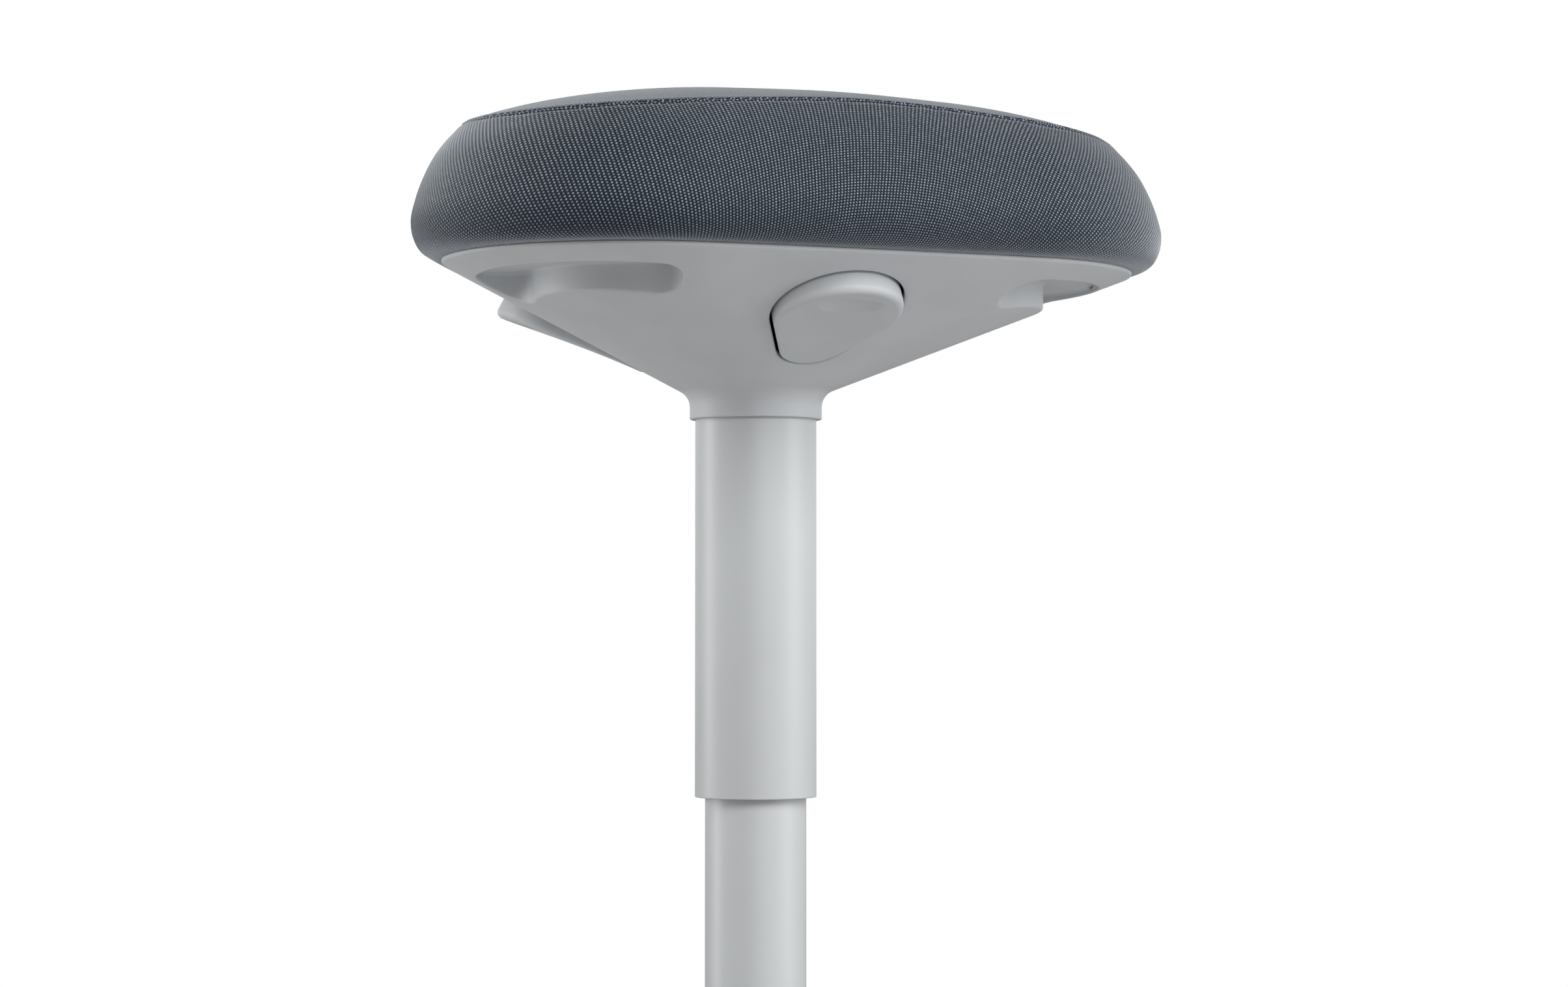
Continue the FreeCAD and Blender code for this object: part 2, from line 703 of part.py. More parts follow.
def bearing_cage():
    """Ball cage between the two washers, with its balls as separate solids."""
    z = bearing_z + washer_thickness
    cage = ring(bearing_radius - cage_play, rod_end_radius + 2 * cage_play,
                z + cage_play, race_gap - 2 * cage_play)
    balls = []
    for index in range(ball_count):
        spot = polar(ball_circle, 360 * index / ball_count, z + race_gap / 2)
        cage = cage.cut(Part.makeCylinder(ball_radius + ball_pocket, race_gap, spot - UP * (race_gap / 2)))
        balls.append(Part.makeSphere(ball_radius, spot))
    return cage, Part.makeCompound(balls)


def rubber_buffer():
    """Rubber stop on the rod that softens the lowest position."""
    return ring(bearing_radius, rod_radius, shoulder_z, buffer_height)


def foot_ring():
    """Flat rubber ring that the stool stands on, with a shallow groove round its tread."""
    inner = foot_radius - foot_ring_width
    middle = foot_radius - foot_ring_width / 2
    groove_in, groove_out = middle - foot_groove_width / 2, middle + foot_groove_width / 2
    return revolve([(inner, 0), (groove_in, 0), (groove_in, foot_groove), (groove_out, foot_groove),
                    (groove_out, 0), (foot_radius - foot_edge, 0), (foot_radius, foot_edge),
                    (foot_radius, foot_ring_height), (inner, foot_ring_height)])


def base_weight():
    """Round steel plate that holds the stool down, with holes for the socket's screws."""
    body = ring(weight_radius, stand_radius, weight_z, weight_thickness)
    for index in range(base_screw_count):
        spot = polar(base_screw_circle, 360 * index / base_screw_count, weight_z)
        body = body.cut(Part.makeCylinder(base_screw_radius, weight_thickness, spot))
    return body


def column_socket():
    """Steel socket on the weight, in which the stand tube is held."""
    flange_top = socket_z + socket_flange
    body = revolve([(stand_radius, socket_z), (socket_flange_radius, socket_z),
                    (socket_flange_radius, flange_top), (socket_radius + socket_weld, flange_top),
                    (socket_radius, flange_top + socket_weld), (socket_radius, socket_top),
                    (stand_radius, socket_top)])
    for index in range(base_screw_count):
        spot = polar(base_screw_circle, 360 * index / base_screw_count, socket_z)
        body = body.cut(Part.makeCylinder(base_screw_radius, socket_flange, spot))
    return body


def base_screws():
    """Screws down through the socket's flange into the weight."""
    seat_z = socket_z + socket_flange
    length = socket_flange + weight_thickness
    screws = []
    for index in range(base_screw_count):
        spot = polar(base_screw_circle, 360 * index / base_screw_count, seat_z)
        screws.append(headed_screw(base_screw_radius, length, base_screw_head,
                                   base_screw_head_height, spot, True))
    return Part.makeCompound(screws)


def cover_outline(shrink):
    """Edges of the base cover's outer profile, from its edge up to its collar, drawn in by shrink."""
    edge = V(foot_radius - shrink, 0, foot_ring_height)
    shoulder = V(foot_radius - shrink, 0, cover_edge - shrink)
    neck = V(collar_radius + cover_collar_fillet - shrink, 0, cover_rise - shrink)
    middle = (shoulder + neck) / 2 + V(0, 0, cover_bulge)
    foot = V(collar_radius - shrink, 0, cover_rise + cover_collar_fillet - shrink)
    bend = V(collar_radius - shrink + cover_collar_fillet * (1 - math.cos(math.pi / 4)), 0,
             cover_rise - shrink + cover_collar_fillet * (1 - math.sin(math.pi / 4)))
    top = V(collar_radius - shrink, 0, cover_collar_top - shrink)
    return [Part.LineSegment(edge, shoulder).toShape(), Part.Arc(shoulder, middle, neck).toShape(),
            Part.Arc(neck, bend, foot).toShape(), Part.LineSegment(foot, top).toShape()], edge, top


def base_cover():
    """Low domed cover over the weight, with a collar like the seat's."""
    bodies = []
    for shrink in (0, cover_wall):
        edges, edge, top = cover_outline(shrink)
        axis_top, axis_edge = V(0, 0, top.z), V(0, 0, edge.z)
        inside = ((top, axis_top), (axis_top, axis_edge), (axis_edge, edge))
        edges += [Part.LineSegment(a, b).toShape() for a, b in inside]
        bodies.append(Part.Face(Part.Wire(edges)).revolve(V(0, 0, 0), UP, 360))
    return bodies[0].cut(bodies[1]).cut(ring(stand_radius + cover_play, 0, weight_z, cover_collar_top))


def build():
    """All the stool's pieces by name."""
    cage, balls = bearing_cage()
    pieces = {
        "foot_ring": foot_ring(),
        "base_weight": base_weight(),
        "column_socket": column_socket(),
        "base_screws": base_screws(),
        "base_cover": base_cover(),
        "stand_tube": stand_tube(),
        "end_plate": end_plate(),
        "bearing_washer_low": bearing_washer(bearing_z),
        "bearing_washer_high": bearing_washer(shoulder_z - washer_thickness),
        "bearing_cage": cage,
        "bearing_balls": balls,
        "rod_clip": rod_clip(),
        "rubber_buffer": rubber_buffer(),
        "piston_rod": piston_rod(),
        "piston": piston(),
        "guide_bush": guide_bush(),
        "gas_cylinder": gas_cylinder(),
        "rod_guide": rod_guide(),
        "release_spool": release_spool(),
        "cover_tube": cover_tube(),
        "glide_ring": glide_ring(),
        "seat_shell": seat_shell(),
        "seat_cradle": cradle(),
        "board_screws": board_screws(),
        "shell_screws": shell_screws(),
        "seat_board": seat_board(),
        "foam_pad": foam_pad(),
        "cover_band": cover_band(),
        "cover_top": cover_top(),
    }
    for name, angle in paddle_angles.items():
        pieces["paddle_" + name] = paddle_lever(angle)
        pieces["paddle_pin_" + name] = lever_pin(angle)
    return pieces


os.makedirs("parts", exist_ok=True)
for name, shape in build().items():
    shape.exportStep("parts/" + name + ".step")
    box = shape.BoundBox
    print(f"{name:20s} solids {len(shape.Solids)} valid {shape.isValid()} {shape.Volume / 1000:9.2f} cm3"
          f"  z {box.ZMin:7.2f} {box.ZMax:7.2f}  x {box.XMin:7.1f} {box.XMax:7.1f}")
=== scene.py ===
"""Perch stool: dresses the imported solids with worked-out surfaces and procedural finishes.

Metres, +Z up. The column stands on the Z axis and one flat side of the seat faces -Y. Every new piece is a
numpy surface whose formula stands in words in its function. It rides a body of the frame and, apart from the
stitches and the screw posts, stands for its nodes.
"""

import math

import bpy
import numpy as np
from bpy.props import FloatProperty, FloatVectorProperty, PointerProperty
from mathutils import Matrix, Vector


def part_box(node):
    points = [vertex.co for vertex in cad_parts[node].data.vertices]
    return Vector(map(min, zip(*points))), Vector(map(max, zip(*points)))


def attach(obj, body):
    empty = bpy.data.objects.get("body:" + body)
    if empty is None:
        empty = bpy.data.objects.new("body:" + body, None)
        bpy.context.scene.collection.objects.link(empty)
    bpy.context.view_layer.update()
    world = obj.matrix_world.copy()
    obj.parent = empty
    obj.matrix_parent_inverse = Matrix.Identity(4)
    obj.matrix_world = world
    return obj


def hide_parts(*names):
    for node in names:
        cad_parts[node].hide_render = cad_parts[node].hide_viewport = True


bl_info = {
    "name": "Perch stool",
    "version": (1, 0, 0),
    "blender": (4, 5, 0),
    "location": "View3D > Sidebar > Stool",
    "description": "Makes the pieces and finishes of a gas-lift perch stool on its packed solids",
    "category": "Object",
}

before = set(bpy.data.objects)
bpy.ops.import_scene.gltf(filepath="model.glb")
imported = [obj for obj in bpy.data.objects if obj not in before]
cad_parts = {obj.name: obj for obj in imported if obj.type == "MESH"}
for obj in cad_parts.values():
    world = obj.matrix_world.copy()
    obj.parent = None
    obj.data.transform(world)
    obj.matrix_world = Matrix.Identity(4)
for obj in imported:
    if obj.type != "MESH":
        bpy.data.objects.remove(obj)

SHELL_LOW, SHELL_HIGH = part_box("seat_shell")
TUBE_LOW, TUBE_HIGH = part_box("cover_tube")
STAND_LOW, STAND_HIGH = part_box("stand_tube")
BASE_LOW, BASE_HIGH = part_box("base_cover")
RING_LOW, RING_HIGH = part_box("foot_ring")
BOARD_LOW, BOARD_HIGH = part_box("seat_board")

COLLAR_Z = SHELL_LOW.z
RIM_Z = SHELL_HIGH.z
SIDES = {"paddle_a": 270.0, "paddle_b": 30.0, "paddle_c": 150.0}
CORNERS = (90.0, 210.0, 330.0)
FRONT_SIDE, DRAWN_SIDE, BACK_CORNER = SIDES["paddle_a"], SIDES["paddle_b"], CORNERS[0]
THIRD = 120.0
UP = np.array([0.0, 0.0, 1.0])


# Sizes and colours

def length(name, default, about, low=0.0):
    """A size in metres."""
    return FloatProperty(name=name, description=about, default=default, min=low, max=1.0,
                         subtype="DISTANCE", unit="LENGTH", precision=4)


def angle(name, degrees, about):
    """An angle, its default in degrees."""
    return FloatProperty(name=name, description=about, default=math.radians(degrees),
                         subtype="ANGLE", unit="ROTATION")


def power(name, default, about):
    """A lamp's power in watts."""
    return FloatProperty(name=name, description=about, default=default, min=0.0, unit="POWER")


def share(name, default, about):
    """A number from 0 to 1."""
    return FloatProperty(name=name, description=about, default=default, min=0.0, max=1.0, subtype="FACTOR")


def colour(name, default, about):
    """A linear colour."""
    return FloatVectorProperty(name=name, description=about, default=default, size=3, min=0.0, max=1.0,
                               subtype="COLOR")


class ShellSettings(bpy.types.PropertyGroup):
    corner_radius: length("Corner radius", 0.0934, "Radius of the seat's corners at the rim")
    throat_radius: length("Throat radius", 0.039, "Where the sloping bowl starts")
    throat_height: length("Throat height", 0.0148, "Height of the throat above the collar's underside")
    rim_band: length("Rim band", 0.0016, "Height of the upright edge of the rim")
    collar_radius: length("Collar radius", 0.0327, "Outer radius of the collar")
    collar_fillet: length("Collar fillet", 0.009, "Radius between the collar and the bowl")
    collar_lip: length("Collar lip", 0.0007, "Rounding of the collar's lower edge")
    rim_round: length("Rim rounding", 0.0010, "Rounding under the rim")
    opening_round: length("Opening rounding", 0.0011, "Rounding round the grips and the paddle openings")
    wall: length("Wall", 0.0024, "Thickness of the moulding")
    grip_outer: length("Grip outer radius", 0.077, "Outer radius of a grip, from the corner's centre")
    grip_inner: length("Grip inner radius", 0.050, "Inner radius of a grip, from the corner's centre")
    grip_turn: angle("Grip half angle", 45.5, "Half of the angle that a grip's middle line spans")
    grip_ceiling: length("Grip ceiling", 0.066, "Height of a grip's ceiling above the collar's underside")
    ceiling_round: length("Ceiling rounding", 0.0016, "Rounding between a grip's wall and its ceiling")
    post_reach: length("Post reach", 0.112, "From the axis to a screw post")
    post_turn: angle("Post turn", 25.0, "Angle between a paddle's middle and a screw post")
    post_radius: length("Post radius", 0.0045, "Outer radius of a screw post")
    post_edge: length("Post edge", 0.0004, "Bevel at a screw post's end")
    post_bore: length("Post bore", 0.002, "Radius of a screw post's hole")
    bore_depth: length("Bore depth", 0.02, "Depth of a screw post's hole")
    tint: colour("Plastic", (0.535, 0.552, 0.568), "Colour of the moulded plastic")


class PaddleSettings(bpy.types.PropertyGroup):
    outer_radius: length("Outer radius", 0.031, "Radius of the paddle's wide end")
    nose_radius: length("Nose radius", 0.017, "Radius of the paddle's narrow end")
    spacing: length("Spacing", 0.031, "Between the two ends' centres")
    start: length("Start", 0.0566, "From the axis to the paddle's inner tip")
    drop: length("Drop", 0.0116, "Drop of the underside below the bowl at its outer end")
    overrun: length("Overrun", 0.005, "The underside's curve is drawn this far past both tips")
    hollow: length("Hollow", 0.0015, "Sag of the underside's long curve")
    gap: length("Gap", 0.0014, "Gap between paddle and shell")
    back: length("Back", 0.0042, "From the bowl's plane up to the paddle's hidden face")
    back_round: length("Back rounding", 0.001, "Rounding of the hidden face's edge")
    outer_round: length("Outer rounding", 0.0042, "Rounding of the lower edge at the wide end")
    nose_round: length("Nose rounding", 0.0012, "Rounding of the lower edge at the narrow end")
    dimple_length: length("Dimple length", 0.034, "Width of the fingertip dimple")
    dimple_width: length("Dimple width", 0.015, "Height of the fingertip dimple")
    dimple_depth: length("Dimple depth", 0.0029, "Depth of the fingertip dimple")
    dimple_place: length("Dimple place", 0.017, "From the outer tip to the dimple's middle")


class CushionSettings(bpy.types.PropertyGroup):
    crown: length("Crown", 0.0845, "Height of the middle above the rim")
    seam_height: length("Seam height", 0.0661, "Height of the seam above the rim")
    droop: length("Seam droop", 0.004, "The seam hangs this much lower at a corner and higher at a side")
    groove: length("Seam groove", 0.0008, "Depth of the seam's groove")
    stitch_pitch: length("Stitch pitch", 0.0048, "From one stitch to the next")
    stitch_length: length("Stitch length", 0.0033, "Length of a stitch that shows")
    stitch_line: length("Stitch line", 0.0021, "From the seam to each row of stitches")
    thread_radius: length("Thread radius", 0.0002, "Radius of the sewing thread")
    fullness: share("Fullness", 0.8, "How tight the cushion is filled")
    swell: length("Swell", 0.004, "The cloth may move this far in the simulation")
    wale: length("Wale pitch", 0.00161, "From one raised rib of the knit to the next")
    course: length("Course pitch", 0.00119, "From one row of the knit to the next")
    slant: length("Slant", 0.00038, "Flecks stand this much lower than those of the rib at their right")
    lay_radius: length("Lay radius", 0.228, "Radius of the curved strip that the side was cut to")
    lay_start: length("Lay start", -0.048, "Along X from the front side's middle to where ribs stand upright",
                      low=-0.1)
    stretch: share("Corner stretch", 0.24, "How much wider the knit is pulled at a corner")
    # Painted shade: below this height above the rim the cushion's colour is darkened, standing in for the
    # shade towards the hem.
    painted_hem_shade: length("Hem shade", 0.026, "The knit is darker below this height above the rim")
    ground: colour("Ground", (0.015, 0.019, 0.0275), "Dark yarn of the knit")
    fleck: colour("Fleck", (0.305, 0.365, 0.43), "Light yarn of the knit")
    thread: colour("Thread", (0.04, 0.047, 0.06), "Sewing thread")


class ColumnSettings(bpy.types.PropertyGroup):
    wall: length("Tube wall", 0.002, "Wall of both tubes")
    edge: length("Tube edge", 0.0006, "Rounding of the tubes' ends")
    tint: colour("Column paint", (0.53, 0.546, 0.552), "Colour of the painted tubes")


class FootSettings(bpy.types.PropertyGroup):
    shoulder: length("Shoulder", 0.012, "Height of the cover's upright edge")
    shoulder_round: length("Shoulder rounding", 0.004, "Rounding of the cover's edge")
    rise: length("Rise", 0.038, "Height of the dome at the column")
    bulge: share("Bulge", 0.78, "How much the dome stands over a straight cone")
    crest: length("Crest", 0.0035, "The dome stays below this height over its rise")
    collar_fillet: length("Collar fillet", 0.022, "Radius between the dome and its collar")
    wall: length("Wall", 0.0026, "Thickness of the cover")
    ring_width: length("Ring width", 0.05, "Width of the foot ring")
    groove_half: length("Groove half width", 0.005, "Half the width of the groove under the foot ring")
    groove_depth: length("Groove depth", 0.002, "Depth of the groove under the foot ring")
    tint: colour("Base paint", (0.53, 0.546, 0.552), "Colour of the painted foot")
    rubber: colour("Rubber", (0.035, 0.036, 0.038), "Colour of the foot ring")


class StageSettings(bpy.types.PropertyGroup):
    floor: colour("Floor", (0.68, 0.68, 0.68), "Colour of the floor")
    key: power("Key light", 20.0, "Power of the light at the right")
    fill: power("Fill light", 18.0, "Power of the light at the left")
    front: power("Front light", 50.0, "Power of the high light in front")
    sky: share("Sky", 0.16, "Brightness of the soft light from all round")


# Meshes

def polar(radius, degrees):
    """Plan point or points at a radius and a direction in degrees."""
    turn = np.radians(degrees)
    return np.stack([radius * np.cos(turn), radius * np.sin(turn)], -1)


def turned(points, degrees):
    """Points turned about the Z axis."""
    cos, sin = math.cos(math.radians(degrees)), math.sin(math.radians(degrees))
    return points @ np.array([[cos, sin, 0.0], [-sin, cos, 0.0], [0.0, 0.0, 1.0]])


def unit(vectors):
    """Vectors scaled to a length of one."""
    return vectors / np.maximum(np.linalg.norm(vectors, axis=-1, keepdims=True), 1e-12)


def smooth_step(value, low, high):
    """0 below low, 1 above high, and a soft step between: 3s^2 - 2s^3."""
    s = np.clip((value - low) / (high - low), 0.0, 1.0)
    return s * s * (3 - 2 * s)


def smooth_path(points, at):
    """Curve through points by cubic pieces whose slope at a point is that of the line between its neighbours.

    at runs from 0 at the first point to 1 at the last, by distance along the straight runs."""
    points = np.asarray(points, float)
    marks = np.concatenate([[0.0], np.cumsum(np.linalg.norm(np.diff(points, axis=0), axis=1))])
    slopes = np.gradient(points, marks, axis=0)
    place = np.clip(np.asarray(at) * marks[-1], 0.0, marks[-1])
    i = np.clip(np.searchsorted(marks, place, side="right") - 1, 0, len(points) - 2)
    step = (marks[i + 1] - marks[i])[:, None]
    s = ((place - marks[i])[:, None]) / step
    return ((2 * s ** 3 - 3 * s ** 2 + 1) * points[i] + (s ** 3 - 2 * s ** 2 + s) * step * slopes[i]
            + (3 * s ** 2 - 2 * s ** 3) * points[i + 1] + (s ** 3 - s ** 2) * step * slopes[i + 1])


def rounded(corners, radii, steps=5):
    """Closed outline with each corner replaced by a curve: the blend (1-s)^2 a + 2s(1-s) b + s^2 c."""
    corners = np.asarray(corners, float)
    radii = np.asarray(radii, float)[:, None]
    before, after = unit(np.roll(corners, 1, 0) - corners), unit(np.roll(corners, -1, 0) - corners)
    s = np.linspace(0.0, 1.0, steps)[None, :, None]
    start, end = (corners + before * radii)[:, None], (corners + after * radii)[:, None]
    middle = corners[:, None]
    curve = (1 - s) ** 2 * start + 2 * s * (1 - s) * middle + s ** 2 * end
    sharp = radii[:, 0] <= 0
    return np.concatenate([curve[k, :1] if sharp[k] else curve[k] for k in range(len(corners))])


def nearest(degrees, first):
    """The nearest of three directions a third of a turn apart, of which the first is given."""
    return first + THIRD * np.round((degrees - first) / THIRD)


def quads_of(index):
    """Quads between the neighbouring rows and columns of a grid of point numbers, or of a stack of grids."""
    return np.stack([index[..., :-1, :-1], index[..., :-1, 1:], index[..., 1:, 1:], index[..., 1:, :-1]], -1)


class Skin:
    """Gathers numpy sheets into one mesh.

    A sheet faces the way that its columns' direction crossed with its rows' direction points."""

    def __init__(self):
        self.points, self.quads, self.flats, self.count = [], [], [], 0

    def sheet(self, points, around=False, closed=False, keep=None, first_pole=False, last_pole=False):
        """Adds a grid of rows and columns.

        around joins the last column to the first and closed the last row to the first. keep masks quads,
        and a pole closes the first or last row on its middle point."""
        rows, columns = points.shape[:2]
        index = self.count + np.arange(rows * columns).reshape(rows, columns)
        if around:
            index = np.concatenate([index, index[:, :1]], 1)
        if closed:
            index = np.concatenate([index, index[:1]], 0)
        quads = quads_of(index)
        if keep is not None:
            quads = quads[keep]
        self.points.append(points.reshape(-1, 3))
        self.quads.append(quads.reshape(-1, 4))
        self.count += rows * columns
        if first_pole:
            self.pole(points[0], index[0], True)
        if last_pole:
            self.pole(points[-1], index[-1], False)

    def pole(self, ring, index, first):
        """Closes a ring with a fan of triangles to its middle."""
        self.points.append(ring.mean(0, keepdims=True))
        middle = np.full(len(index) - 1, self.count)
        pair = (index[1:], index[:-1]) if first else (index[:-1], index[1:])
        self.flats += np.stack([pair[0], pair[1], middle], -1).tolist()
        self.count += 1

    def piece(self, name, merge=0.0):
        """Object with the gathered mesh, smooth, with points nearer than merge joined."""
        mesh = bpy.data.meshes.new(name)
        points = np.concatenate(self.points)
        quads = np.concatenate(self.quads) if self.quads else np.zeros((0, 4), int)
        if merge:
            keys = np.round(points / merge).astype(np.int64)
            _, first, inverse = np.unique(keys, axis=0, return_index=True, return_inverse=True)
            inverse = inverse.reshape(-1)
            points, quads = points[first], inverse[quads]
            flats = [[int(inverse[i]) for i in flat] for flat in self.flats]
            same = (quads == np.roll(quads, 1, 1)).any(1)
            flats += [list(dict.fromkeys(quad)) for quad in quads[same].tolist()]
            flats = [flat for flat in flats if len(set(flat)) == len(flat) > 2]
            quads = quads[~same]
        else:
            flats = self.flats
        mesh.from_pydata(points.tolist(), [], quads.tolist() + flats)
        mesh.polygons.foreach_set("use_smooth", np.ones(len(mesh.polygons), bool))
        mesh.update()
        made = bpy.data.objects.new(name, mesh)
        bpy.context.scene.collection.objects.link(made)
        return made


def lathe(profile, segments=128):
    """Surface of revolution: each (radius, height) of the profile carried round the Z axis."""
    profile = np.asarray(profile, float)
    turn = np.arange(segments) * 2 * np.pi / segments
    x = profile[:, :1] * np.cos(turn)
    y = profile[:, :1] * np.sin(turn)
    return np.stack([x, y, np.broadcast_to(profile[:, 1:], x.shape)], -1)


def dress(piece, body, finish, slot, *nodes):
    """Gives a piece its finish, its body and the nodes that it stands for; slot is not used."""
    piece.data.materials.clear()
    piece.data.materials.append(finish)
    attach(piece, body)
    if nodes:
        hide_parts(*nodes)
    return piece


# Seat outline and bowl

class SeatPlan:
    """Seat outline at the rim: three corner arcs joined without a kink by three flatter side arcs.

    With c the corners' centre distance, r their radius and s the sides' reach, a side's radius is
    ((s - c/2)^2 - r^2 + (c sin 60)^2) / (2 (s - c/2 - r))."""

    def __init__(self, corner_radius, corner_reach, side_reach):
        self.corner = corner_radius
        self.centre = corner_reach - corner_radius
        half = self.centre * math.sin(math.pi / 3)
        depth = side_reach - self.centre / 2
        self.side = (depth ** 2 - corner_radius ** 2 + half ** 2) / (2 * (depth - corner_radius))
        self.far = self.side - side_reach
        self.corner_turn = 60.0 - math.degrees(math.asin(half / (self.side - corner_radius)))

    def sector(self, degrees):
        """Centre and radius of the arc whose outward normals point in the given directions."""
        corner, side = nearest(degrees, BACK_CORNER), nearest(degrees, FRONT_SIDE)
        on_corner = np.abs(degrees - corner) <= self.corner_turn
        centre = np.where(on_corner[..., None], polar(self.centre, corner), polar(-self.far, side))
        return centre, np.where(on_corner, self.corner, self.side)

    def normals(self, count, grow=0.0):
        """Directions of the outline's normals at equal steps along it, from the back corner on."""
        turn = self.corner_turn
        ends = [(THIRD * k - turn, THIRD * k + turn) for k in (1, 2)]
        marks = BACK_CORNER + np.array([0.0, turn, *ends[0], *ends[1], 3 * THIRD - turn, 3 * THIRD])
        radii = np.array([self.corner, self.side] * 3 + [self.corner]) + grow
        run = np.concatenate([[0.0], np.cumsum(np.radians(np.diff(marks)) * radii)])
        return np.interp(np.arange(count) / count * run[-1], run, marks)

    def ring(self, degrees, offset, scale=1.0):
        """Outline grown outwards by offset, then scaled: scale (centre + (radius + offset) normal)."""
        centre, radius = self.sector(degrees)
        return scale * (centre + polar(1.0, degrees) * (radius + offset)[..., None])


class Bowl:
    """Bowl ruled between the throat circle and the rim outline.

    At share t its outline has the corner centres at t c, radii a + (r - a) t and height low + t rise, with
    a the throat's radius, so the share of a plan point p is the root of |p - t c| = a + (r - a) t."""

    def __init__(self, plan, throat, low, high):
        self.plan, self.throat, self.low, self.rise = plan, throat, low, high - low

    def sectors(self, azimuth):
        """Centre, growth and direction of the nearest corner sector and of the nearest side sector."""
        corner, side = nearest(azimuth, BACK_CORNER), nearest(azimuth, FRONT_SIDE)
        plan = self.plan
        return ((polar(plan.centre, corner), plan.corner - self.throat, polar(1.0, corner)),
                (polar(-plan.far, side), plan.side - self.throat, polar(1.0, side)))

    def on_corner(self, from_centre, direction):
        """True where the normal lies within the corner's own angle."""
        return (unit(from_centre) * direction).sum(-1) >= math.cos(math.radians(self.plan.corner_turn))

    def reach(self, azimuth, t):
        """Distance d from the axis to the outline of share t, in the azimuth's direction u.

        It is the larger root of |d u - t c| = a + (r - a) t."""
        azimuth, t = np.broadcast_arrays(np.asarray(azimuth, float), np.asarray(t, float))
        u = polar(1.0, azimuth)
        found = []
        for centre, growth, _ in self.sectors(azimuth):
            along = t * (u * centre).sum(-1)
            radius = self.throat + growth * t
            found.append(along + np.sqrt(along ** 2 - t ** 2 * (centre ** 2).sum(-1) + radius ** 2))
        centre, _, direction = self.sectors(azimuth)[0]
        corner = self.on_corner(u * found[0][..., None] - centre * t[..., None], direction)
        return np.where(corner, found[0], found[1])

    def at(self, plan_points):
        """Share, outward plan normal and slope of the bowl at plan points."""
        azimuth = np.degrees(np.arctan2(plan_points[..., 1], plan_points[..., 0]))
        square = (plan_points ** 2).sum(-1) - self.throat ** 2
        found = []
        for centre, growth, direction in self.sectors(azimuth):
            a = (centre ** 2).sum(-1) - growth ** 2
            b = (plan_points * centre).sum(-1) + self.throat * growth
            t = square / (b + np.sqrt(np.maximum(b ** 2 - a * square, 0.0)))
            spoke = plan_points - centre * t[..., None]
            normal = unit(spoke)
            found.append((t, normal, self.rise / ((normal * centre).sum(-1) + growth), spoke, direction))
        corner = self.on_corner(found[0][3], found[0][4])
        pick = [np.where(corner[..., None] if k == 1 else corner, found[0][k], found[1][k]) for k in range(3)]
        return pick[0], pick[1], pick[2]

    def lift(self, plan_points):
        """Points of the bowl's outer face above plan points."""
        t = self.at(plan_points)[0]
        return np.concatenate([plan_points, (self.low + t * self.rise)[..., None]], -1)

    def normal(self, plan_points):
        """Outward normals of the outer face, which looks down."""
        _, across, slope = self.at(plan_points)
        return unit(np.concatenate([across * slope[..., None], np.full(slope.shape + (1,), -1.0)], -1))


def seat_plan():
    """The seat's outline from the settings and the shell's box."""
    return SeatPlan(bpy.context.scene.stool_shell.corner_radius, SHELL_HIGH.y, -SHELL_LOW.y)


def seat_bowl(plan):
    """The bowl from the settings, up to the rim's band."""
    shell = bpy.context.scene.stool_shell
    return Bowl(plan, shell.throat_radius, COLLAR_Z + shell.throat_height, RIM_Z - shell.rim_band)


# The bowl's grid, and the blocks of it that an opening takes up: half width in columns, first and last row.
AZIMUTHS = 480
STEP = 360.0 / AZIMUTHS
SHARES = np.linspace(0.0, 0.975, 61)
PADDLE_BLOCK = (30, 3, 57)
GRIP_BLOCK = (36, 36, 59)

# An opening's outline is worked out at this many points and joined to its block along spokes from a point
# this far from the axis.
OPENING_POINTS = 1440
SPOKE_MIDDLE = 0.094


def block_border(block, middle):
    """Azimuths and shares of the grid points round a block, anticlockwise from above."""
    half, low, high = block
    across = middle + np.arange(-half, half + 1) * STEP
    up = SHARES[low:high + 1]
    wide, tall = np.ones(len(across) - 1), np.ones(len(up) - 1)
    return (np.concatenate([across[:-1], across[-1] * tall, across[:0:-1], across[0] * tall]),
            np.concatenate([up[-1] * wide, up[:0:-1], up[0] * wide, up[:-1]]))


def grown_edge(outline, bowl, way, radius, steps=5):
    """Rounded edge of an opening, from its wall out to the bowl.

    With g the face's direction away from the opening and d the wall's, a point is
    edge + r (1 - sin b) g + r (1 - cos b) d, for b from 90 degrees down to 0."""
    along = np.roll(outline, -1, 0) - np.roll(outline, 1, 0)
    away = unit(np.cross(bowl.normal(outline[:, :2]), along))
    b = np.linspace(np.pi / 2, 0.0, steps)[:, None, None]
    rows = outline + radius * (1 - np.sin(b)) * away + radius * (1 - np.cos(b)) * way
    rows[-1] = bowl.lift(rows[-1, :, :2])
    return rows


def fan_out(inner, border, bowl, steps=6):
    """Rings on the bowl from an opening's edge to the border of its block: edge + (border - edge) w^1.4."""
    w = (np.linspace(0.0, 1.0, steps)[1:] ** 1.4)[:, None, None]
    return bowl.lift(inner[None, :, :2] + (border[None] - inner[None, :, :2]) * w)


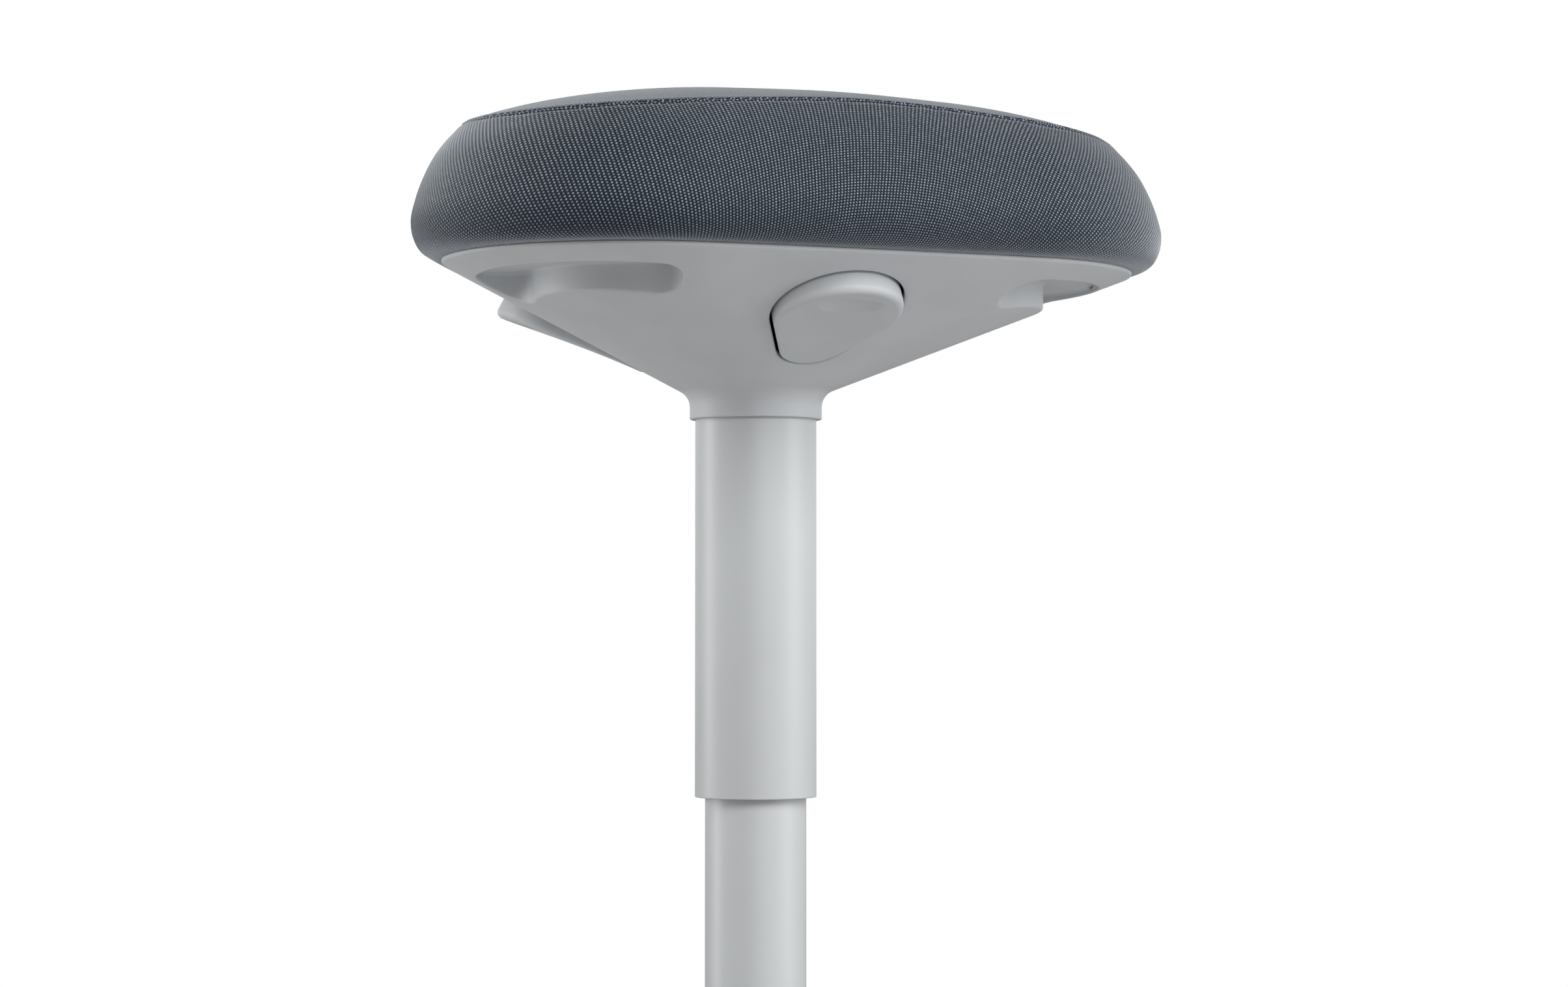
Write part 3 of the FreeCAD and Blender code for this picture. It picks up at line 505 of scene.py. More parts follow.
def grip_rows(shell, plan, bowl):
    """Grip pocket at the back corner with the bowl round it.

    Its outline is an arc slot about the corner's centre with round ends; each border point is joined to the
    nearest point of the slot. Rows run from the ceiling down the upright wall and out over the bowl."""
    azimuth, t = block_border(GRIP_BLOCK, BACK_CORNER)
    border = polar(1.0, azimuth) * bowl.reach(azimuth, t)[:, None]
    centre = polar(plan.centre, BACK_CORNER)
    spoke = border - centre
    turn = np.clip(np.arctan2(-spoke[:, 0], spoke[:, 1]), -shell.grip_turn, shell.grip_turn)
    middle = (shell.grip_outer + shell.grip_inner) / 2
    half_width = (shell.grip_outer - shell.grip_inner) / 2
    spine = centre + middle * np.stack([-np.sin(turn), np.cos(turn)], -1)
    out = unit(border - spine)
    fillet = grown_edge(bowl.lift(spine + out * half_width), bowl, UP, shell.opening_round)
    ceiling, r = COLLAR_Z + shell.grip_ceiling, shell.ceiling_round
    b = np.linspace(0.0, np.pi / 2, 6)[:, None]
    drawn_in = half_width - r * (1 - np.cos(b))
    plan_rows = spine[None] + out[None] * drawn_in[..., None]
    heights = np.broadcast_to((ceiling - r * (1 - np.sin(b)))[..., None], (len(b), len(out), 1))
    corner = np.concatenate([plan_rows, heights], -1)[::-1]
    share_out = np.array([0.55, 0.8])[:, None, None]
    flat = np.concatenate([spine[None] + out[None] * (half_width - r) * share_out,
                           np.full((2, len(out), 1), ceiling)], -1)
    s = np.linspace(0.0, 1.0, 4)[1:-1, None, None]
    wall = corner[-1][None] * (1 - s) + fillet[0][None] * s
    return np.concatenate([flat, corner, wall, fillet, fan_out(fillet[-1], border, bowl)])


class PaddleShape:
    """Paddle outline and underside in its own plane, for the side at +X.

    a runs along the bowl's slope from the inner tip and b across. The outline is two circles and their
    common tangents. The underside leaves the bowl's plane by drop q - 4 hollow q (1 - q), q the share of its
    run."""

    def __init__(self, bowl):
        self.set = bpy.context.scene.stool_paddles
        self.slope = bowl.rise / (-SHELL_LOW.y - bowl.throat)
        lean = math.atan(self.slope)
        self.along = np.array([math.cos(lean), 0.0, math.sin(lean)])
        self.out = np.array([math.sin(lean), 0.0, -math.cos(lean)])
        self.tip = np.array([self.set.start, 0.0, bowl.low + (self.set.start - bowl.throat) * self.slope])
        self.length = self.set.nose_radius + self.set.spacing + self.set.outer_radius

    def outline(self, count, grow=0.0):
        """Points and normals of the outline anticlockwise, seen from above, at equal steps along it."""
        s = self.set
        lean = math.asin((s.outer_radius - s.nose_radius) / s.spacing)
        turn = np.pi / 2 + lean
        run = np.array([(s.outer_radius + grow) * 2 * turn, s.spacing * math.cos(lean),
                        (s.nose_radius + grow) * 2 * (np.pi - turn), s.spacing * math.cos(lean)])
        marks = np.concatenate([[0.0], np.cumsum(run)])
        place = (np.arange(count) / count * marks[-1] + run[0] / 2) % marks[-1]
        angle = np.interp(place, marks, [-turn, turn, turn, 2 * np.pi - turn, 2 * np.pi - turn])
        share_out = np.interp(place, marks, [1.0, 1.0, 0.0, 0.0, 1.0])
        centre = s.nose_radius + s.spacing * share_out
        radius = s.nose_radius + (s.outer_radius - s.nose_radius) * share_out + grow
        normal = np.stack([np.cos(angle), np.sin(angle)], -1)
        return np.stack([centre, np.zeros(count)], -1) + normal * radius[:, None], normal

    def place(self, plane_points, depth):
        """Points in space: tip + a along + b across + depth outwards."""
        across = np.array([0.0, 1.0, 0.0])
        return (self.tip + plane_points[..., :1] * self.along + plane_points[..., 1:2] * across
                + np.asarray(depth)[..., None] * self.out)

    def underside(self, plane_points):
        """How far the underside stands out of the bowl's plane.

        A point's share q depends on the depth itself, so depth = cos(lean) drop(q) is repeated until it
        settles."""
        s = self.set
        start = s.start - s.overrun
        run = self.length * self.along[0] + 2 * s.overrun
        x0 = s.start + plane_points[..., 0] * self.along[0]
        depth = np.zeros_like(x0)
        for _ in range(6):
            q = (x0 + depth * self.out[0] - start) / run
            depth = self.along[0] * (s.drop * q - 4 * s.hollow * q * (1 - q))
        return depth

    def dimple(self, plane_points):
        """Depth of the fingertip hollow: depth (1 - a^2 - b^2) within an oval, a and b in half widths."""
        s = self.set
        a = (plane_points[..., 0] - (self.length - s.dimple_place)) / (s.dimple_width / 2)
        b = plane_points[..., 1] / (s.dimple_length / 2)
        return s.dimple_depth * np.clip(1.0 - (a ** 2 + b ** 2), 0.0, 1.0)


def to_drawn_side(points):
    """Points in space or in plan, made for a side at +X, moved to the drawn side."""
    if points.shape[-1] == 2:
        return to_drawn_side(np.concatenate([points, np.zeros((len(points), 1))], 1))[:, :2]
    return turned(points, DRAWN_SIDE)


def opening_rows(shape, bowl):
    """Opening for the paddle of the drawn side with the bowl round it.

    The paddle's outline, grown by the gap, is carried square to the bowl's plane onto the bowl; border points
    are joined to it along spokes from its middle. Rows run down the wall and out over the bowl."""
    shell = bpy.context.scene.stool_shell
    azimuth, t = block_border(PADDLE_BLOCK, DRAWN_SIDE)
    border = polar(1.0, azimuth - DRAWN_SIDE) * bowl.reach(azimuth, t)[:, None]
    plane, _ = shape.outline(OPENING_POINTS, shape.set.gap)
    points = to_drawn_side(shape.place(plane, np.zeros(len(plane))))
    out = to_drawn_side(shape.out[None])[0]
    for _ in range(4):
        gap = points[:, 2] - bowl.lift(points[:, :2])[:, 2]
        points = points + out * (gap * -out[2])[:, None]
    points = turned(points, -DRAWN_SIDE)
    angles = np.arctan2(points[:, 1], points[:, 0] - SPOKE_MIDDLE) % (2 * np.pi)
    want = np.arctan2(border[:, 1], border[:, 0] - SPOKE_MIDDLE) % (2 * np.pi)
    order = np.argsort(angles)
    edge = np.stack([np.interp(want, angles[order], points[order, k], period=2 * np.pi)
                     for k in range(2)], -1)
    fillet = grown_edge(bowl.lift(to_drawn_side(edge)), bowl, -out, shell.opening_round)
    s = np.linspace(1.0, 0.0, 4)[:-1, None, None]
    wall = fillet[0][None] - out * s * shell.wall
    return np.concatenate([wall, fillet, fan_out(fillet[-1], to_drawn_side(border), bowl)])


def collar_rows(shell, bowl, azimuth):
    """Collar from its bore round its lower edge, up its wall and through the fillet to the throat.

    The fillet of radius f touches the wall and the bowl's own slope s at each azimuth: its centre is f
    outside the wall, and it leaves at the angle of that slope."""
    near, play, mouth, depth = 0.002, 0.0002, 0.0005, 0.006
    slope = bowl.rise * near / (bowl.reach(azimuth, near) - bowl.throat)
    lean = np.arctan(slope)
    f, r, lip = shell.collar_fillet, shell.collar_radius, shell.collar_lip
    touch = r + f - f * np.sin(lean)
    centre_z = bowl.low + slope * (touch - bowl.throat) - f * np.cos(lean)
    bore = TUBE_HIGH.x + play
    b = np.linspace(0.0, np.pi / 2, 5)
    low = np.array([(bore, depth), (bore, mouth), (bore + 0.0001, 0.0001), (bore + mouth, 0.0),
                    *zip(r - lip + lip * np.sin(b), lip - lip * np.cos(b))])
    radius = np.broadcast_to(low[:, :1], (len(low), len(azimuth)))
    height = np.broadcast_to(low[:, 1:] + COLLAR_Z, radius.shape)
    s = np.linspace(0.0, 1.0, 3)[1:, None]
    wall_z = height[-1] * (1 - s) + centre_z * s
    wall_r = np.full_like(wall_z, r)
    angles = np.pi - (np.pi / 2 - lean) * np.linspace(0.0, 1.0, 10)[1:, None]
    r_all = np.concatenate([radius, wall_r, r + f + f * np.cos(angles)])
    z_all = np.concatenate([height, wall_z, centre_z + f * np.sin(angles)])
    return np.concatenate([polar(1.0, azimuth)[None] * r_all[..., None], z_all[..., None]], -1)


def rim_rows(shell, bowl, azimuth):
    """Rim from the bowl round its lower edge and up the band.

    The edge's rounding of radius r is point + r (1 - sin b) inward + r (1 - cos b) up, for b from 0 to 90
    degrees, inward being down the bowl's slope."""
    edge = polar(1.0, azimuth) * bowl.reach(azimuth, 1.0)[:, None]
    _, across, slope = bowl.at(edge)
    point = np.concatenate([edge, np.full((len(azimuth), 1), bowl.low + bowl.rise)], 1)
    inward = unit(np.concatenate([-across, -slope[:, None]], 1))
    b = np.linspace(0.0, np.pi / 2, 6)[:, None, None]
    under = point + shell.rim_round * ((1 - np.sin(b)) * inward + (1 - np.cos(b)) * UP)
    return np.concatenate([under, (point + shell.rim_band * UP)[None]])




# Finishes

class Signal:
    """A node's output. Arithmetic on it adds Math nodes to the same tree."""

    def __init__(self, finish, node, socket):
        self.finish, self.node, self.socket = finish, node, socket

    def out(self, name):
        return Signal(self.finish, self.node, self.node.outputs[name])

    def maths(self, operation, *values):
        return self.finish.node("ShaderNodeMath", {"operation": operation}, dict(enumerate(values)))

    def __add__(self, other):
        return self.maths("ADD", self, other)

    def __sub__(self, other):
        return self.maths("SUBTRACT", self, other)

    def __rsub__(self, other):
        return self.maths("SUBTRACT", other, self)

    def __mul__(self, other):
        return self.maths("MULTIPLY", self, other)

    def __truediv__(self, other):
        return self.maths("DIVIDE", self, other)

    def __pow__(self, other):
        return self.maths("POWER", self, other)

    __radd__ = __add__
    __rmul__ = __mul__

    def step(self, low, high):
        """0 at low, 1 at high, with a soft step between."""
        return self.finish.node("ShaderNodeMapRange", {"interpolation_type": "SMOOTHSTEP"},
                                {"Value": self, "From Min": low, "From Max": high})


class Finish:
    """The node tree of a material or of the world, built from expressions."""

    def __init__(self, name, owner=None):
        self.owner = owner or bpy.data.materials.new(name)
        self.owner.use_nodes = True
        self.tree = self.owner.node_tree
        self.tree.nodes.clear()

    def node(self, kind, settings=None, sockets=None):
        """Adds a node: its settings first, then its sockets' values or links. Gives its first output."""
        made = self.tree.nodes.new(kind)
        for key, value in (settings or {}).items():
            setattr(made, key, value)
        for key, value in (sockets or {}).items():
            if isinstance(value, Signal):
                self.tree.links.new(value.socket, made.inputs[key])
            else:
                made.inputs[key].default_value = value
        outputs = [socket for socket in made.outputs if socket.enabled]
        return Signal(self, made, outputs[0]) if outputs else made

    def place(self, kind="Object"):
        """Object coordinates or the UV map."""
        return self.node("ShaderNodeTexCoord").out(kind)

    def noise(self, place, scale, detail=2.0, roughness=0.5):
        """Noise from 0 to 1; scale is in features to the metre on Object coordinates."""
        return self.node("ShaderNodeTexNoise", {}, {"Vector": place, "Scale": scale, "Detail": detail,
                                                    "Roughness": roughness})

    def stretched(self, place, stretch):
        """A place with each axis multiplied, so that a pattern on it runs in lines."""
        return self.node("ShaderNodeVectorMath", {"operation": "MULTIPLY"}, {0: place, 1: stretch})

    def tones(self, factor, tint, dark, light=1.0):
        """Mix of a darker and a lighter tone of a colour."""
        return self.mix(factor, [c * dark for c in tint], [min(c * light, 1.0) for c in tint])

    def mix(self, factor, first, second, kind="MIX"):
        """Mix of two colours."""
        made = self.node("ShaderNodeMix", {"data_type": "RGBA", "blend_type": kind}, {0: factor})
        for index, value in ((6, first), (7, second)):
            if isinstance(value, Signal):
                self.tree.links.new(value.socket, made.node.inputs[index])
            else:
                made.node.inputs[index].default_value = (*value, 1.0)
        return Signal(self, made.node, made.node.outputs[2])

    def bump(self, height, distance):
        """Normal bent by a height, distance being the metres that a height of 1 stands for."""
        return self.node("ShaderNodeBump", {}, {"Height": height, "Distance": distance, "Strength": 1.0})

    def surface(self, **sockets):
        """Principled surface to the output; names use _ for a space."""
        values = {key.replace("_", " "): value for key, value in sockets.items()}
        base = values.get("Base Color")
        if base is not None and not isinstance(base, Signal):
            values["Base Color"] = (*base, 1.0)
        shader = self.node("ShaderNodeBsdfPrincipled", {}, values)
        self.node("ShaderNodeOutputMaterial", {}, {"Surface": shader})
        return self.owner


def moulded(name, tint):
    """Moulded plastic: an eroded grain half a millimetre across, slight mottling and softer gloss in
    patches."""
    f = Finish(name)
    place = f.place()
    fine, patch = f.noise(place, 2600.0, 3.0, 0.6), f.noise(place, 35.0, 2.0)
    shade = f.tones(patch.step(0.35, 0.7), tint, 0.975, 1.02)
    return f.surface(Base_Color=shade, Roughness=0.46 + 0.08 * patch + 0.06 * fine,
                     Normal=f.bump(fine, 0.00002), Specular_IOR_Level=0.42)


def painted(name, tint):
    """Powder paint on metal: fine orange peel about a millimetre across under a satin gloss."""
    f = Finish(name)
    place = f.place()
    peel, speck = f.noise(place, 900.0, 2.0, 0.55), f.noise(place, 3200.0, 1.0)
    patch = f.noise(place, 18.0, 2.0)
    shade = f.tones(patch.step(0.3, 0.75), tint, 0.985, 1.012)
    return f.surface(Base_Color=shade, Roughness=0.36 + 0.07 * patch + 0.05 * speck,
                     Normal=f.bump(peel, 0.000022), Specular_IOR_Level=0.5)


def rubbery(name, tint):
    """Matt rubber with a dusty bloom."""
    f = Finish(name)
    place = f.place()
    fine, patch = f.noise(place, 1800.0, 3.0, 0.65), f.noise(place, 60.0, 3.0, 0.6)
    shade = f.mix(patch.step(0.4, 0.8), tint, [c * 1.7 + 0.006 for c in tint])
    return f.surface(Base_Color=shade, Roughness=0.74 + 0.16 * patch, Normal=f.bump(fine, 0.00004),
                     Specular_IOR_Level=0.3)


def steel(name, tint, roughness, stretch=(40.0, 40.0, 900.0)):
    """Turned or drawn steel: fine lines drawn round the piece, with duller patches."""
    f = Finish(name)
    place = f.place()
    lines, patch = f.noise(f.stretched(place, stretch), 5.0, 3.0, 0.6), f.noise(place, 45.0, 2.0)
    shade = f.tones(patch.step(0.35, 0.75), tint, 0.86)
    return f.surface(Base_Color=shade, Metallic=1.0, Roughness=roughness + 0.1 * lines + 0.08 * patch,
                     Normal=f.bump(lines, 0.000006))


def cast(name, tint):
    """Sand-cast alloy: coarse pitted skin."""
    f = Finish(name)
    place = f.place()
    pits, patch = f.noise(place, 700.0, 4.0, 0.65), f.noise(place, 50.0, 2.0)
    shade = f.tones(patch.step(0.3, 0.8), tint, 0.8)
    return f.surface(Base_Color=shade, Metallic=1.0, Roughness=0.42 + 0.2 * pits,
                     Normal=f.bump(pits, 0.00008))


def plywood(name, tint):
    """Birch ply: veneers 1.4 mm thick that show at the edge, and long grain on the faces."""
    f = Finish(name)
    place = f.place()
    axes = f.node("ShaderNodeSeparateXYZ", {}, {0: place})
    layer = axes.maths("FRACT", axes.out("Z") / 0.0028).step(0.45, 0.55)
    grain = f.noise(f.stretched(place, (8.0, 130.0, 60.0)), 3.0, 4.0, 0.6)
    shade = f.tones(grain.step(0.3, 0.75), tint, 0.72)
    shade = f.mix(layer * 0.35, shade, [c * 0.55 for c in tint])
    return f.surface(Base_Color=shade, Roughness=0.62 + 0.15 * grain, Normal=f.bump(grain, 0.00006))


def threadlike(name, tint):
    """Twisted sewing thread."""
    f = Finish(name)
    twist = f.noise(f.place(), 5200.0, 2.0)
    shade = f.tones(twist.step(0.35, 0.7), tint, 0.6, 2.2)
    return f.surface(Base_Color=shade, Roughness=0.7 + 0.1 * twist, Normal=f.bump(twist, 0.00006))


def knitted(name, cushion):
    """Knitted upholstery: light flecks on a slanted lattice over a dark ground.

    The UV map is in millimetres. Ribs run up the cloth a wale apart; along each rib the flecks follow at a
    course's pitch, each rib's a little lower than its neighbour's. A fleck is a leaning oval bump crossed by
    fine hairs. Towards the hem the colour is darkened as painted shade."""
    wale, course, slant = (1000.0 * size for size in (cushion.wale, cushion.course, cushion.slant))
    f = Finish(name)
    uv = f.place("UV")
    sway, wobble = f.noise(uv, 0.06, 2.0), f.noise(uv, 0.45, 2.0)
    axes = f.node("ShaderNodeSeparateXYZ", {}, {0: uv})
    across = (axes.out("X") + (sway - 0.5) * 0.8 + (wobble - 0.5) * 0.35) / wale
    up = (axes.out("Y") + (sway - 0.5) * 0.6 - across * slant) / course
    p, q = across.maths("FRACT", across) - 0.5, up.maths("FRACT", up) - 0.5
    cell = f.node("ShaderNodeCombineXYZ", {}, {0: across.maths("FLOOR", across), 1: up.maths("FLOOR", up)})
    chance = f.node("ShaderNodeTexWhiteNoise", {"noise_dimensions": "2D"}, {"Vector": cell})
    y = q * course
    lean = p * wale + y * 0.25
    fleck = 1.0 - ((lean * lean / 0.20 + y * y / 0.17) ** 0.5).step(0.55, 1.15)
    rib = 1.0 - (p * p * 4.0)
    hair = f.noise(uv, 9.0, 3.0, 0.7)
    light = fleck * (0.55 + 0.55 * chance) * (0.75 + 0.5 * hair)
    shade = f.mix(light, f.tones(hair.step(0.3, 0.75), cushion.ground, 0.62, 1.7), tuple(cushion.fleck))
    # Painted shade: below the given height above the rim the colour is multiplied towards a dark blue-grey,
    # standing in for the shade towards the hem.
    height = f.node("ShaderNodeSeparateXYZ", {}, {0: f.place()}).out("Z")
    hem = 1.0 - height.step(RIM_Z - 0.002, RIM_Z + cushion.painted_hem_shade)
    shade = f.mix(hem * 0.8, shade, (0.42, 0.47, 0.56), "MULTIPLY")
    relief = fleck * 0.7 + rib * 0.55 + hair * 0.25
    return f.surface(Base_Color=shade, Roughness=0.86 + 0.08 * hair, Normal=f.bump(relief, 0.00022),
                     Specular_IOR_Level=0.2, Sheen_Weight=1.0, Sheen_Roughness=0.36,
                     Sheen_Tint=(0.9, 0.95, 1.0, 1.0))


# Pieces

class StoolOperator:
    """Shared: an operator that a user can undo."""
    bl_options = {"REGISTER", "UNDO"}


class STOOL_OT_shell(StoolOperator, bpy.types.Operator):
    """Make the moulded under-shell with its collar, grips, paddle openings and screw posts"""
    bl_idname = "stool.shell"
    bl_label = "Make the shell"

    def execute(self, context):
        shell = context.scene.stool_shell
        plan = seat_plan()
        bowl = seat_bowl(plan)
        azimuth = np.arange(AZIMUTHS) * STEP
        reach = bowl.reach(azimuth[None], SHARES[:, None])
        grid = bowl.lift(polar(1.0, azimuth)[None] * reach[..., None])
        keep = np.ones((len(SHARES) - 1, AZIMUTHS), bool)
        for middle, (half, low, high) in ([(side, PADDLE_BLOCK) for side in SIDES.values()]
                                          + [(corner, GRIP_BLOCK) for corner in CORNERS]):
            columns = (int(round(middle / STEP)) + np.arange(-half, half)) % AZIMUTHS
            keep[low:high, columns] = False
        skin = Skin()
        skin.sheet(grid, around=True, keep=keep)
        skin.sheet(np.concatenate([grid[-1:], rim_rows(shell, bowl, azimuth)]), around=True)
        skin.sheet(np.concatenate([collar_rows(shell, bowl, azimuth), grid[:1]]), around=True)
        grip = grip_rows(shell, plan, bowl)
        opening = opening_rows(PaddleShape(bowl), bowl)
        for turn in (0.0, THIRD, 2 * THIRD):
            skin.flats.append(list(range(skin.count, skin.count + grip.shape[1]))[::-1])
            skin.sheet(turned(grip, turn), around=True)
            skin.sheet(turned(opening, turn), around=True)
        piece = skin.piece("shell", merge=1e-6)
        wall = piece.modifiers.new("wall", "SOLIDIFY")
        wall.thickness = shell.wall
        wall.offset = -1.0
        finish = moulded("shell_plastic", tuple(shell.tint))
        dress(piece, "seat", finish, "shell_plastic", "seat_shell")
        dress(self.posts(shell, bowl), "seat", finish, "shell_plastic")
        return {"FINISHED"}

    @staticmethod
    def posts(shell, bowl):
        """Posts for the seat board's screws, two beside each paddle: a turned profile on the bowl's wall."""
        sides, sunk, top = 24, 0.001, BOARD_LOW.z
        turn = np.arange(sides) * 2 * np.pi / sides
        circle = np.stack([np.cos(turn), np.sin(turn)], -1)
        profile = ((shell.post_radius, top - shell.post_edge), (shell.post_radius - shell.post_edge, top),
                   (shell.post_bore, top), (shell.post_bore, top - shell.bore_depth))
        skin = Skin()
        for side in SIDES.values():
            for lean in (-shell.post_turn, shell.post_turn):
                spot = polar(shell.post_reach, side + math.degrees(lean))
                foot = bowl.lift(spot + circle * shell.post_radius) + (0.0, 0.0, sunk)
                rows = [foot] + [np.concatenate([spot + circle * radius, np.full((sides, 1), z)], 1)
                                 for radius, z in profile]
                skin.sheet(np.array(rows)[::-1], around=True, first_pole=True)
        return skin.piece("shell_posts")


# Lever seen from the side, in millimetres from the axis and above the collar's underside: its corners, their
# rounding and the point that its ends close on. Then its half thickness and the bevel of its edges.
LEVER_CORNERS = ((8.4, 52.2), (27.2, 52.2), (45.0, 33.6), (47.0, 30.2), (58.0, 30.2), (66.0, 31.6),
                 (90.0, 45.2), (91.6, 48.6), (58.0, 42.2), (44.6, 42.2), (32.0, 55.2), (8.4, 55.2))
LEVER_ROUNDS = (0.8, 2.0, 2.0, 2.0, 2.0, 2.0, 1.0, 1.0, 2.0, 2.0, 2.0, 0.8)
LEVER_MIDDLE = (49.0, 37.5)
LEVER_HALF, LEVER_BEVEL = 0.0048, 0.0004


class STOOL_OT_paddles(StoolOperator, bpy.types.Operator):
    """Make the three release paddles with their levers"""
    bl_idname = "stool.paddles"
    bl_label = "Make the paddles"

    def execute(self, context):
        s = context.scene.stool_paddles
        shape = PaddleShape(seat_bowl(seat_plan()))
        outline, normal = shape.outline(220)
        middle = np.array([shape.length - s.dimple_place, 0.0])
        wide_share = smooth_step(outline[:, 0], 0.3 * shape.length, 0.95 * shape.length)
        size = s.nose_round + (s.outer_round - s.nose_round) * wide_share
        inner = outline - normal * size[:, None]
        spokes = np.concatenate([np.linspace(0.02, 0.9, 46), np.linspace(0.9, 1.0, 8)[1:]])
        face = middle + (inner - middle)[None] * spokes[:, None, None]
        face_depth = shape.underside(face) - shape.dimple(face)
        b = np.linspace(0.0, np.pi / 2, 9)[1:, None]
        edge = outline[None] - normal[None] * (size * (1 - np.sin(b)))[..., None]
        edge_depth = shape.underside(edge) - size * (1 - np.cos(b))
        low = edge_depth[-1]
        wall_depth = low[None] + (-s.back - low[None]) * np.linspace(0.0, 1.0, 6)[1:, None]
        wall = np.broadcast_to(outline, (5,) + outline.shape)
        b = np.linspace(0.0, np.pi / 2, 5)[1:, None]
        over = outline[None] - normal[None] * (s.back_round * (1 - np.cos(b)))[..., None]
        over_depth = -s.back - s.back_round * np.sin(b) + 0 * over[..., 0]
        cap = middle + (over[-1] - middle)[None] * np.linspace(1.0, 0.05, 6)[1:, None, None]
        cap_depth = np.full(cap.shape[:2], -s.back - s.back_round)
        rows = shape.place(np.concatenate([face, edge, wall, over, cap]),
                           np.concatenate([face_depth, edge_depth, wall_depth, over_depth, cap_depth]))
        finish = moulded("paddle_plastic", tuple(context.scene.stool_shell.tint))
        for node, side in SIDES.items():
            skin = Skin()
            for part in (rows, self.lever()):
                skin.sheet(turned(part, side), around=True, first_pole=True, last_pole=True)
            dress(skin.piece("release_" + node), node, finish, "shell_plastic", node)
        return {"FINISHED"}

    @staticmethod
    def lever():
        """Lever from the spool out under the paddle: a rounded side view carried across its width, closed by
        rings that shrink to the middle."""
        view = rounded(np.array(LEVER_CORNERS) / 1000, np.array(LEVER_ROUNDS) / 1000)
        middle = np.array(LEVER_MIDDLE) / 1000
        half, bevel = LEVER_HALF, LEVER_BEVEL
        steps = [(0.05, -half), (0.6, -half), (0.985, -half), (1.0, bevel - half), (1.0, half - bevel),
                 (0.985, half), (0.6, half), (0.05, half)]
        rows = []
        for grow, across in steps:
            ring = middle + (view - middle) * grow
            rows.append(np.stack([ring[:, 0], np.full(len(ring), across), ring[:, 1] + COLLAR_Z], -1))
        return np.array(rows)


# The cushion's side as it was measured on the photograph: heights above the rim, and how far it stands out.
SIDE_HEIGHTS = (0.0, 0.0012, 0.004, 0.010, 0.018, 0.028, 0.040, 0.050, 0.060, 0.0661)
SIDE_OFFSETS = (-0.0008, 0.0054, 0.0099, 0.0133, 0.0146, 0.0128, 0.0086, 0.0035, -0.0042, -0.0104)

# Columns of its grid, spread evenly along the rim grown by EVEN_AT.
CUSHION_COLUMNS, EVEN_AT = 704, 0.012

# Within this distance of the seam rows lie close together, and this is the run from the seam to the middle.
SEAM_ZONE, TOP_RUN = 0.0042, 0.16

# How far in from the rim the cover runs beside the board and under it.
BOARD_IN, HEM_IN = 0.003, 0.015

SWELL_FRAMES, SWELL_SMOOTHINGS = 20, 12


